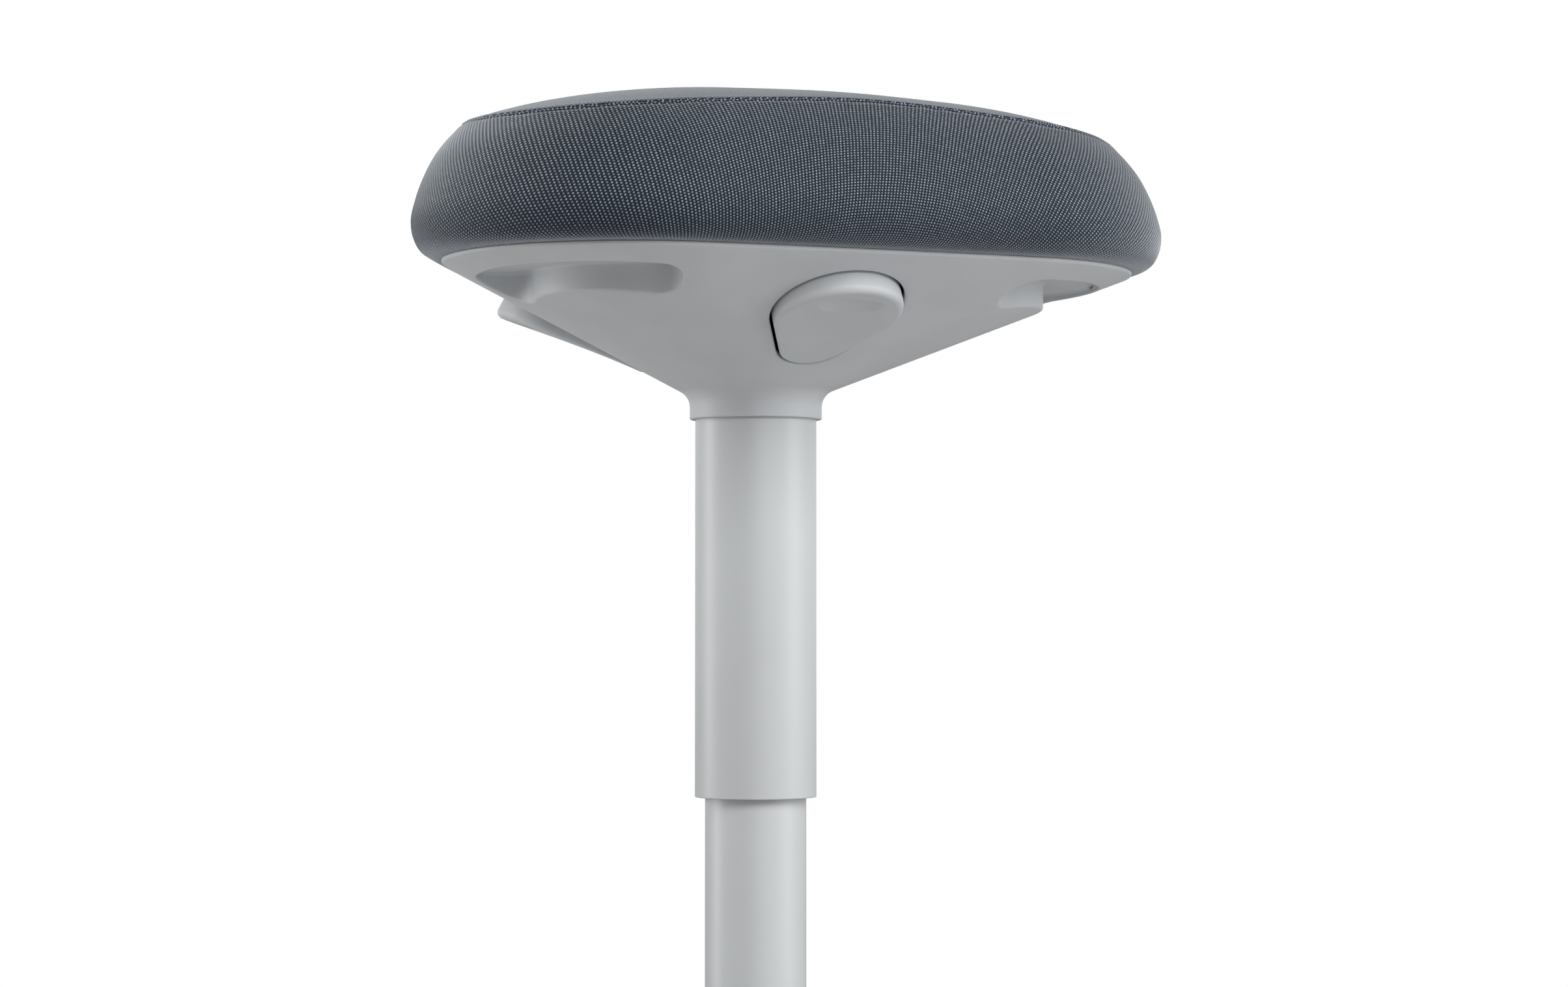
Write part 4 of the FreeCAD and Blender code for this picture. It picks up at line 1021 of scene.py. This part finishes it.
class CushionShape:
    """Cushion cover as a closed grid: in under the hem, round the board, up the bulging side, over the crown.

    A row is the rim outline grown by the profile's offset. Above the seam it is the seam's outline scaled by
    k, with height crown - (crown - seam) k^3. The seam is lower by droop cos 3(azimuth) at the corners."""

    def __init__(self, plan, cushion):
        self.plan, self.set = plan, cushion
        self.degrees = plan.normals(CUSHION_COLUMNS, EVEN_AT)
        rim = plan.ring(self.degrees, 0.0)
        self.hang = -cushion.droop * np.cos(3 * self.from_corner(rim))

    @staticmethod
    def from_corner(points):
        """Angle about the axis from the back corner."""
        return np.arctan2(points[:, 1], points[:, 0]) - math.radians(BACK_CORNER)

    def side_rows(self):
        """Marks, profile points and distances of the side's rows, close together by the hem and the seam."""
        side = np.array([SIDE_OFFSETS, SIDE_HEIGHTS]).T
        run = np.linalg.norm(np.diff(side, axis=0), axis=1).sum()
        zone = 1.0 - SEAM_ZONE / run
        marks = np.concatenate([np.linspace(0.0, 0.1, 12)[:-1], np.linspace(0.1, zone, 44)[:-1],
                                np.linspace(zone, 1.0, 15)])
        return marks, smooth_path(side, marks), marks * run

    def build(self):
        """Grid rows, the distance of each row from the seam, the side's first row and the row of the seam."""
        c = self.set
        top, low, turn, gap, tuck = BOARD_HIGH.z - RIM_Z, BOARD_LOW.z - RIM_Z, 0.0005, 0.0004, 0.006
        rows = [self.level(-BOARD_IN, top, scale) for scale in (0.05, 0.5, 0.97)]
        for offset, height in ((-BOARD_IN, top), (-BOARD_IN, top - 2 * turn), (-BOARD_IN, low + turn),
                               (-BOARD_IN - turn, low), (-HEM_IN + turn, low), (-HEM_IN, low - gap),
                               (-HEM_IN, gap), (-HEM_IN + turn, 0.0), (-tuck, 0.0)):
            rows.append(self.level(offset, height, 1.0))
        first = len(rows)
        marks, side, distance = self.side_rows()
        for (offset, height), mark in zip(side, marks):
            rows.append(self.level(offset, height + self.hang * smooth_step(mark, 0.0, 1.0), 1.0))
        seam = len(rows) - 1
        zone = 1.0 - SEAM_ZONE / TOP_RUN
        scales = np.concatenate([1.0 - np.linspace(0.0, SEAM_ZONE, 15)[1:] / TOP_RUN,
                                 np.linspace(zone, 0.02, 46)[1:]])
        drop = c.crown - (c.seam_height + self.hang)
        rows += [self.level(SIDE_OFFSETS[-1], c.crown - drop * k ** 3, k) for k in scales]
        along = np.concatenate([distance - distance[-1], (1.0 - scales) * TOP_RUN])
        return np.array(rows), along, first, seam

    def level(self, offset, height, scale):
        """One row: the outline grown by offset and scaled, at a height above the rim."""
        points = self.plan.ring(self.degrees, np.full(len(self.degrees), offset), scale)
        return np.concatenate([points, (RIM_Z + np.broadcast_to(height, len(points)))[:, None]], 1)

    def swell(self, grid, first, seam):
        """Lets a coarse copy of the cover swell as cloth, pinned at its hem and seam, and gives its movement.

        Pressure fills it with no gravity, and no point counts as moved further than the swell. Each row's
        mean movement is taken off, because the profile measured on the photograph already holds it, so what
        stays is how the cloth bulges between and over the corners."""
        scene = bpy.context.scene
        rows = np.unique(np.concatenate([np.arange(0, first, 2), np.linspace(first, seam, 18).astype(int),
                                         np.linspace(seam, len(grid) - 1, 16).astype(int)]))
        columns = np.arange(0, CUSHION_COLUMNS, 4)
        coarse = grid[np.ix_(rows, columns)]
        skin = Skin()
        skin.sheet(coarse, around=True, first_pole=True, last_pole=True)
        piece = skin.piece("swell")
        held = np.arange(coarse.shape[0] * len(columns)).reshape(coarse.shape[:2])
        held = held[(rows <= first) | (rows == seam)]
        piece.vertex_groups.new(name="held").add(held.ravel().tolist() + [skin.count - 2], 1.0, "REPLACE")
        cloth = piece.modifiers.new("cloth", "CLOTH")
        made = cloth.settings
        made.quality, made.mass = 6, 0.25
        made.tension_stiffness = made.compression_stiffness = 20.0
        made.shear_stiffness, made.bending_stiffness = 6.0, 1.0
        made.use_pressure, made.uniform_pressure_force = True, 4.0
        made.effector_weights.gravity = 0.0
        made.vertex_group_mass = "held"
        cloth.point_cache.frame_start, cloth.point_cache.frame_end = 1, SWELL_FRAMES
        for frame_number in range(1, SWELL_FRAMES + 1):
            scene.frame_set(frame_number)
        mesh = piece.evaluated_get(bpy.context.evaluated_depsgraph_get()).to_mesh()
        moved = np.zeros(len(mesh.vertices) * 3)
        mesh.vertices.foreach_get("co", moved)
        moved = moved.reshape(-1, 3)[:coarse.shape[0] * len(columns)].reshape(coarse.shape) - coarse
        scene.frame_set(1)
        bpy.data.objects.remove(piece)
        reach = np.linalg.norm(moved, axis=-1, keepdims=True)
        moved = moved * np.minimum(1.0, self.set.swell / np.maximum(reach, 1e-9))
        outward = (moved[..., :2] * polar(1.0, self.degrees[columns])[None]).sum(-1)
        fields = [field - field.mean(1, keepdims=True) for field in (outward, moved[..., 2])]
        up = np.stack([np.interp(np.arange(len(grid)), rows, line) for line in np.eye(len(rows))], -1)
        across = np.stack([np.interp(np.arange(CUSHION_COLUMNS), columns, line, period=CUSHION_COLUMNS)
                           for line in np.eye(len(columns))], 0)
        fields = [up @ field @ across for field in fields]
        for _ in range(SWELL_SMOOTHINGS):
            fields = [(np.roll(field, 1, 1) + 2 * field + np.roll(field, -1, 1)) / 4 for field in fields]
            fields = [np.concatenate([field[:1], (field[:-2] + 2 * field[1:-1] + field[2:]) / 4, field[-1:]])
                      for field in fields]
        fine_out = polar(1.0, self.degrees)[None]
        move = np.concatenate([fine_out * fields[0][..., None], fields[1][..., None]], -1)
        move[:first + 1] = 0.0
        print("cloth moved at most", round(float(reach.max()) * 1000, 2), "mm, kept",
              round(float(np.abs(move).max()) * 1000, 2), "mm")
        return move

    def sew(self, grid, along, first):
        """Pushes the rows near the seam in and out along their normals.

        In millimetres, each fold adds height e^-((d - place) / width)^2, with d the distance from the seam:
        the groove, a ridge each side of it, the line where the stitches pull down and a soft swell beyond."""
        c = self.set
        part = grid[first:]
        across = np.roll(part, -1, 1) - np.roll(part, 1, 1)
        up = np.gradient(part, axis=0)
        normal = unit(np.cross(across, up))
        d = np.abs(along * 1000.0)
        folds = ((0.0, 0.5, -c.groove * 1000.0), (1.15, 0.6, 0.30), (c.stitch_line * 1000.0, 0.42, -0.28),
                 (4.2, 1.5, 0.22))
        push = sum(height * np.exp(-((d - place) / width) ** 2) for place, width, height in folds)
        grid[first:] += normal * (push / 1000.0)[:, None, None]
        return grid

    def cloth_map(self, grid, first, seam):
        """UV in millimetres for every grid point, on the strip and on the top.

        The side is laid flat as the arc-shaped strip that it was cut from: its base line turns steadily, by
        its length over the lay radius, and rows stand square to it. At a corner the cloth is pulled wider, so
        its scale there is 1 - stretch c^1.5, c rising from 0 at a side to 1 at a corner. The top lies as in
        plan."""
        c = self.set
        side = grid[first:seam + 1]
        middle = side[len(side) // 2]
        steps = np.linalg.norm(np.roll(middle, -1, 0) - middle, axis=1) * 1000
        run = np.concatenate([[0.0], np.cumsum(steps)])
        front = np.argmin(np.where(middle[:, 1] < 0, np.abs(middle[:, 0] - c.lay_start), 1.0))
        turn = (run - run[front]) / (c.lay_radius * 1000)
        corner_share = 0.5 + 0.5 * np.cos(3 * self.from_corner(middle))
        pull = 1.0 - c.stretch * corner_share ** 1.5
        half = (turn[:-1] + turn[1:]) / 2
        line = np.concatenate([[[0.0, 0.0]], np.cumsum(np.stack([np.cos(half), np.sin(half)], -1)
                                                       * (steps * pull)[:, None], 0)])
        line -= line[front]
        rise = np.linalg.norm(np.diff(grid[:, 0], axis=0), axis=1) * 1000
        height = np.concatenate([[0.0], np.cumsum(rise)])
        height -= height[first + len(side) // 2]
        up = np.stack([-np.sin(turn), np.cos(turn)], -1) * np.append(pull, pull[0])[:, None]
        strip = line[None] + height[:, None, None] * up[None]
        return strip, np.concatenate([grid, grid[:, :1]], 1)[..., :2] * 1000


class STOOL_OT_cushion(StoolOperator, bpy.types.Operator):
    """Make the upholstered cushion with its seam and stitches"""
    bl_idname = "stool.cushion"
    bl_label = "Make the cushion"

    def execute(self, context):
        cushion = context.scene.stool_cushion
        shape = CushionShape(seat_plan(), cushion)
        grid, along, first, seam = shape.build()
        grid = grid + shape.swell(grid, first, seam)
        grid = shape.sew(grid, along, first)
        skin = Skin()
        skin.sheet(grid, around=True, first_pole=True, last_pole=True)
        piece = skin.piece("cushion")
        self.lay_out(piece.data, grid, shape.cloth_map(grid, first, seam), seam)
        dress(piece, "seat", knitted("seat_fabric", cushion), "seat_fabric",
              "cover_band", "cover_top", "foam_pad")
        for name, gap in (("stitches_low", -cushion.stitch_line), ("stitches_high", cushion.stitch_line)):
            row = first + int(np.argmin(np.abs(along - gap)))
            self.stitches(name, grid[row], cushion)
        return {"FINISHED"}

    @staticmethod
    def lay_out(mesh, grid, maps, seam):
        """Gives every corner of every quad its place in the flat cloth: the strip below the seam, the plan
        above."""
        strip, top = maps
        rows, columns = grid.shape[:2]
        r, c = np.meshgrid(np.arange(rows - 1), np.arange(columns), indexing="ij")
        r, c = r.ravel(), c.ravel()
        corner_r = np.stack([r, r, r + 1, r + 1], -1)
        corner_c = np.stack([c, c + 1, c + 1, c], -1)
        place = np.where((r >= seam)[:, None, None], top[corner_r, corner_c], strip[corner_r, corner_c])
        first = np.stack([top[0, 1:], top[0, :-1], np.repeat(top[0].mean(0)[None], columns, 0)], 1)
        last = np.stack([top[-1, :-1], top[-1, 1:], np.repeat(top[-1].mean(0)[None], columns, 0)], 1)
        layer = mesh.uv_layers.new(name="UVMap")
        layer.data.foreach_set("uv", np.concatenate([place.reshape(-1, 2), first.reshape(-1, 2),
                                                     last.reshape(-1, 2)]).astype(np.float32).ravel())

    @staticmethod
    def stitches(name, ring, cushion):
        """Row of stitches along a ring: each a short bead of thread with six sides that dips at both ends.

        With e from -1 at one end to 1 at the other, the bead's girth is r sqrt(1 - e^4), and it lies under
        the cloth's line by sunk + dip e^6."""
        sides, rings, tilt, sunk, dip = 6, 5, 0.12, 0.00012, 0.0003
        closed = np.concatenate([ring, ring[:1]])
        run = np.concatenate([[0.0], np.cumsum(np.linalg.norm(np.diff(closed, axis=0), axis=1))])
        count = int(run[-1] / cushion.stitch_pitch)
        start = np.arange(count) * run[-1] / count
        s = np.linspace(0.0, 1.0, rings)
        place = start[:, None] + s[None] * cushion.stitch_length
        spine = np.stack([np.interp(place % run[-1], run, closed[:, k]) for k in range(3)], -1)
        along = unit(spine[:, -1:] - spine[:, :1])
        outward = unit(np.concatenate([spine[..., :2], np.full(spine.shape[:2] + (1,), tilt)], -1))
        side = unit(np.cross(outward, along))
        outward = unit(np.cross(along, side))
        girth = cushion.thread_radius * np.sqrt(np.clip(1.0 - (2 * s - 1) ** 4, 0.12, 1.0))
        spine = spine - outward * (sunk + dip * (2 * s - 1) ** 6)[None, :, None]
        angles = np.arange(sides) * 2 * np.pi / sides
        across = (side[:, :, None] * np.cos(angles)[:, None] + outward[:, :, None] * np.sin(angles)[:, None])
        beads = spine[:, :, None] + girth[None, :, None, None] * across
        skin = Skin()
        index = np.arange(count * rings * sides).reshape(count, rings, sides)
        skin.points.append(beads.reshape(-1, 3))
        skin.quads.append(quads_of(np.concatenate([index, index[:, :, :1]], 2)).reshape(-1, 4))
        skin.count = index.size
        skin.flats = index[:, 0, ::-1].tolist() + index[:, -1].tolist()
        finish = bpy.data.materials.get("sewing_thread") or threadlike("sewing_thread", tuple(cushion.thread))
        dress(skin.piece(name), "seat", finish, "seat_fabric")


class STOOL_OT_column(StoolOperator, bpy.types.Operator):
    """Make the two tubes of the column"""
    bl_idname = "stool.column"
    bl_label = "Make the column"

    def execute(self, context):
        column = context.scene.stool_column
        paint = painted("column_paint", tuple(column.tint))
        for name, body, low, high, node in (("outer_tube", "seat", TUBE_LOW, TUBE_HIGH, "cover_tube"),
                                            ("inner_tube", "base", STAND_LOW, STAND_HIGH, "stand_tube")):
            outer, inner = high.x, high.x - column.wall
            profile = rounded([(outer, low.z), (outer, high.z), (inner, high.z), (inner, low.z)],
                              [column.edge] * 4, 5)
            skin = Skin()
            skin.sheet(lathe(profile), around=True, closed=True)
            dress(skin.piece(name), body, paint, "column_paint", node)
        return {"FINISHED"}


class STOOL_OT_foot(StoolOperator, bpy.types.Operator):
    """Make the domed base cover and the rubber ring under it"""
    bl_idname = "stool.foot"
    bl_label = "Make the foot"

    def execute(self, context):
        foot = context.scene.stool_foot
        self.dome(foot, context.scene.stool_shell.collar_radius)
        self.ring(foot)
        return {"FINISHED"}

    @staticmethod
    def dome(foot, collar):
        """Base cover: a cone with a parabolic bulge, rounded at its edge and swept up into a collar."""
        low, high, reach = BASE_LOW.z, BASE_HIGH.z, BASE_HIGH.x
        top = low + foot.shoulder
        neck = collar + foot.collar_fillet
        s = np.linspace(0.0, 1.0, 25)[:, None]
        b = np.linspace(0.0, np.pi / 2, 8)[:, None]
        r, climb, fine = foot.shoulder_round, foot.rise - top, 0.0002
        dome = np.concatenate([reach - r + (neck - reach + r) * s,
                               top + climb * s + 4 * climb / 3 * foot.bulge * s * (1 - s)], 1)
        dome[:, 1] = np.minimum(dome[:, 1], foot.rise + foot.crest)
        edge = np.concatenate([reach - r + r * np.cos(b), top - r + r * np.sin(b)], 1)
        fillet = np.concatenate([neck - foot.collar_fillet * np.sin(b),
                                 foot.rise + foot.collar_fillet * (1 - np.cos(b))], 1)
        outer = np.concatenate([[(reach, low), (reach, low + 2 * fine)], edge, dome[1:-1], fillet,
                                [(collar, high - 4 * fine), (collar - fine, high - fine),
                                 (collar - 4 * fine, high)]])
        play, thick = 0.0003, foot.wall
        bore = STAND_HIGH.x + play
        inner = np.array([(bore + 3 * fine, high), (bore + fine / 2, high - play), (bore, high - 5 * fine),
                          (bore, foot.rise + foot.collar_fillet), (neck, foot.rise - thick),
                          (reach * 0.6, (top + foot.rise) / 2), (reach - 0.012, top - thick - 0.001),
                          (reach - thick, top - 0.006), (reach - thick, low)])
        skin = Skin()
        skin.sheet(lathe(np.concatenate([outer, inner]), 192), around=True, closed=True)
        finish = painted("base_paint", tuple(foot.tint))
        dress(skin.piece("base_dome"), "base", finish, "base_paint", "base_cover")

    @staticmethod
    def ring(foot):
        """Rubber ring: a flat band with a groove in the middle of its underside, turned round the axis."""
        outer, low, high = RING_HIGH.x, RING_LOW.z, RING_HIGH.z
        inner = outer - foot.ring_width
        middle, half, roof = outer - foot.ring_width / 2, foot.groove_half, low + foot.groove_depth
        corners = [(outer, low), (outer, high), (inner, high), (inner, low),
                   (middle - half, low), (middle - half, roof), (middle + half, roof), (middle + half, low)]
        radii = [0.002, 0.0004, 0.0004, 0.001, 0.0005, 0.0005, 0.0005, 0.0005]
        skin = Skin()
        skin.sheet(lathe(rounded(corners, radii, 4), 192), around=True, closed=True)
        finish = rubbery("foot_rubber", tuple(foot.rubber))
        dress(skin.piece("rubber_ring"), "base", finish, "foot_rubber", "foot_ring")


class STOOL_OT_works(StoolOperator, bpy.types.Operator):
    """Give the hidden works their finishes"""
    bl_idname = "stool.works"
    bl_label = "Finish the works"

    def execute(self, context):
        finishes = {
            steel("raw_steel", (0.33, 0.34, 0.36), 0.42): ("base_weight", "column_socket", "end_plate"),
            steel("ground_steel", (0.68, 0.69, 0.71), 0.18): (
                "bearing_washer_low", "bearing_washer_high", "bearing_balls", "piston_rod", "piston",
                "rod_clip", "release_spool", "paddle_pin_a", "paddle_pin_b", "paddle_pin_c"),
            steel("zinc_steel", (0.62, 0.62, 0.58), 0.34, (60.0, 60.0, 60.0)): (
                "base_screws", "board_screws", "shell_screws"),
            moulded("black_plastic", (0.028, 0.029, 0.031)): (
                "guide_bush", "glide_ring", "bearing_cage", "rod_guide"),
            painted("black_paint", (0.03, 0.03, 0.032)): ("gas_cylinder",),
            cast("cast_alloy", (0.58, 0.59, 0.61)): ("seat_cradle",),
            plywood("plywood", (0.62, 0.47, 0.30)): ("seat_board",),
            bpy.data.materials["foot_rubber"]: ("rubber_buffer",),
        }
        for finish, nodes in finishes.items():
            for node in nodes:
                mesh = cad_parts[node].data
                mesh.materials.clear()
                mesh.materials.append(finish)
        return {"FINISHED"}


# The camera that was fitted to the photograph: place, turn in degrees, and lens for a 36 mm sensor.
CAMERA_PLACE = (-0.6862, -1.6252, 0.424636)
CAMERA_TURN = (92.1398, 0.0, -23.3447)
CAMERA_LENS = 81.89

# Lights that face the column's middle: name, place, width, height, setting and its share.
LIGHTS = (("light_right", (1.75, -1.3, 0.65), 1.1, 1.6, "key", 1.0),
          ("light_right_high", (1.75, -1.3, 1.9), 1.1, 1.6, "key", 0.25),
          ("light_left", (-1.5, 0.9, 0.65), 0.5, 1.6, "fill", 1.0),
          ("light_front", (-0.1, -2.3, 2.0), 1.3, 1.3, "front", 1.0))
LIT_POINT = (0.0, 0.0, 0.5)

# Radii of the floor's rings, and where it starts to turn white for the camera and is white.
FLOOR_RINGS = (9.0, 6.0, 4.0, 2.5, 1.2, 0.4, 0.05)
FLOOR_FADE = (0.9, 2.2)
WHITE = (1.0, 1.0, 1.0, 1.0)


class STOOL_OT_stage(StoolOperator, bpy.types.Operator):
    """Make the floor, the lights, the world and the camera"""
    bl_idname = "stool.stage"
    bl_label = "Make the stage"

    def execute(self, context):
        stage = context.scene.stool_stage
        rings = np.array([(radius, 0.0) for radius in FLOOR_RINGS])
        skin = Skin()
        skin.sheet(lathe(rings, 96), around=True, last_pole=True)
        floor = skin.piece("floor")
        floor.data.materials.append(self.floor_finish(tuple(stage.floor)))
        self.world(stage.sky)
        for name, place, width, height, setting, part in LIGHTS:
            self.area(name, place, width, height, getattr(stage, setting) * part)
        camera = bpy.data.cameras.new("camera")
        camera.lens, camera.sensor_width, camera.clip_end = CAMERA_LENS, 36.0, 60.0
        holder = bpy.data.objects.new("camera", camera)
        context.scene.collection.objects.link(holder)
        holder.location = CAMERA_PLACE
        holder.rotation_euler = [math.radians(turn) for turn in CAMERA_TURN]
        context.scene.camera = holder
        context.scene.view_settings.view_transform = "Standard"
        return {"FINISHED"}

    @staticmethod
    def area(name, place, width, height, watts):
        """Soft rectangular light that faces the column's middle."""
        light = bpy.data.lights.new(name, "AREA")
        light.shape, light.size, light.size_y, light.energy = "RECTANGLE", width, height, watts
        holder = bpy.data.objects.new(name, light)
        bpy.context.scene.collection.objects.link(holder)
        away = np.array(place) - np.array(LIT_POINT)
        flat = math.hypot(away[0], away[1])
        holder.location = place
        holder.rotation_euler = (math.atan2(flat, away[2]), 0.0, math.atan2(away[0], -away[1]))

    @staticmethod
    def floor_finish(tint):
        """Pale floor that keeps the shadow near the object and turns white for the camera further out."""
        f = Finish("floor")
        place = f.place()
        distance = f.node("ShaderNodeVectorMath", {"operation": "LENGTH"}, {0: place}).out("Value")
        seen = f.node("ShaderNodeLightPath").out("Is Camera Ray")
        diffuse = f.node("ShaderNodeBsdfDiffuse", {}, {"Color": (*tint, 1.0)})
        white = f.node("ShaderNodeEmission", {}, {"Color": WHITE, "Strength": 1.0})
        whiteness = seen * (0.25 + 0.75 * distance.step(*FLOOR_FADE))
        mixed = f.node("ShaderNodeMixShader", {}, {0: whiteness, 1: diffuse, 2: white})
        f.node("ShaderNodeOutputMaterial", {}, {"Surface": mixed})
        return f.owner

    @staticmethod
    def world(strength):
        """Even soft light, shown as white to the camera and in reflections."""
        bpy.context.scene.world = bpy.data.worlds.new("studio")
        f = Finish("studio", bpy.context.scene.world)
        path = f.node("ShaderNodeLightPath")
        seen = path.out("Is Camera Ray")
        for ray in ("Is Glossy Ray", "Is Transmission Ray"):
            seen = seen.maths("MAXIMUM", seen, path.out(ray))
        soft, white = (f.node("ShaderNodeBackground", {}, {"Color": WHITE, "Strength": level})
                       for level in (strength, 1.0))
        mixed = f.node("ShaderNodeMixShader", {}, {0: seen, 1: soft, 2: white})
        f.node("ShaderNodeOutputWorld", {}, {"Surface": mixed})


class STOOL_PT_panel(bpy.types.Panel):
    """Lists the stool's pieces in the sidebar"""
    bl_label = "Perch stool"
    bl_idname = "STOOL_PT_panel"
    bl_space_type = "VIEW_3D"
    bl_region_type = "UI"
    bl_category = "Stool"

    def draw(self, context):
        for name, group in GROUPS.items():
            box = self.layout.box()
            box.label(text=name.replace("stool_", "").capitalize())
            settings = getattr(context.scene, name)
            for key in group.__annotations__:
                box.prop(settings, key)
        for operator in OPERATORS:
            self.layout.operator(operator.bl_idname)


GROUPS = {"stool_shell": ShellSettings, "stool_paddles": PaddleSettings, "stool_cushion": CushionSettings,
          "stool_column": ColumnSettings, "stool_foot": FootSettings, "stool_stage": StageSettings}
OPERATORS = (STOOL_OT_shell, STOOL_OT_paddles, STOOL_OT_cushion, STOOL_OT_column, STOOL_OT_foot,
             STOOL_OT_works, STOOL_OT_stage)


def register():
    for group in (*GROUPS.values(), *OPERATORS, STOOL_PT_panel):
        bpy.utils.register_class(group)
    for name, group in GROUPS.items():
        setattr(bpy.types.Scene, name, PointerProperty(type=group))


def unregister():
    for name in GROUPS:
        delattr(bpy.types.Scene, name)
    for group in reversed((*GROUPS.values(), *OPERATORS, STOOL_PT_panel)):
        bpy.utils.unregister_class(group)


def main():
    """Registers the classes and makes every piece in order."""
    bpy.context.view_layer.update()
    register()
    for operator in OPERATORS:
        group, name = operator.bl_idname.split(".")
        getattr(getattr(bpy.ops, group), name)()
    bpy.context.view_layer.update()


if __name__ == "__main__":
    main()
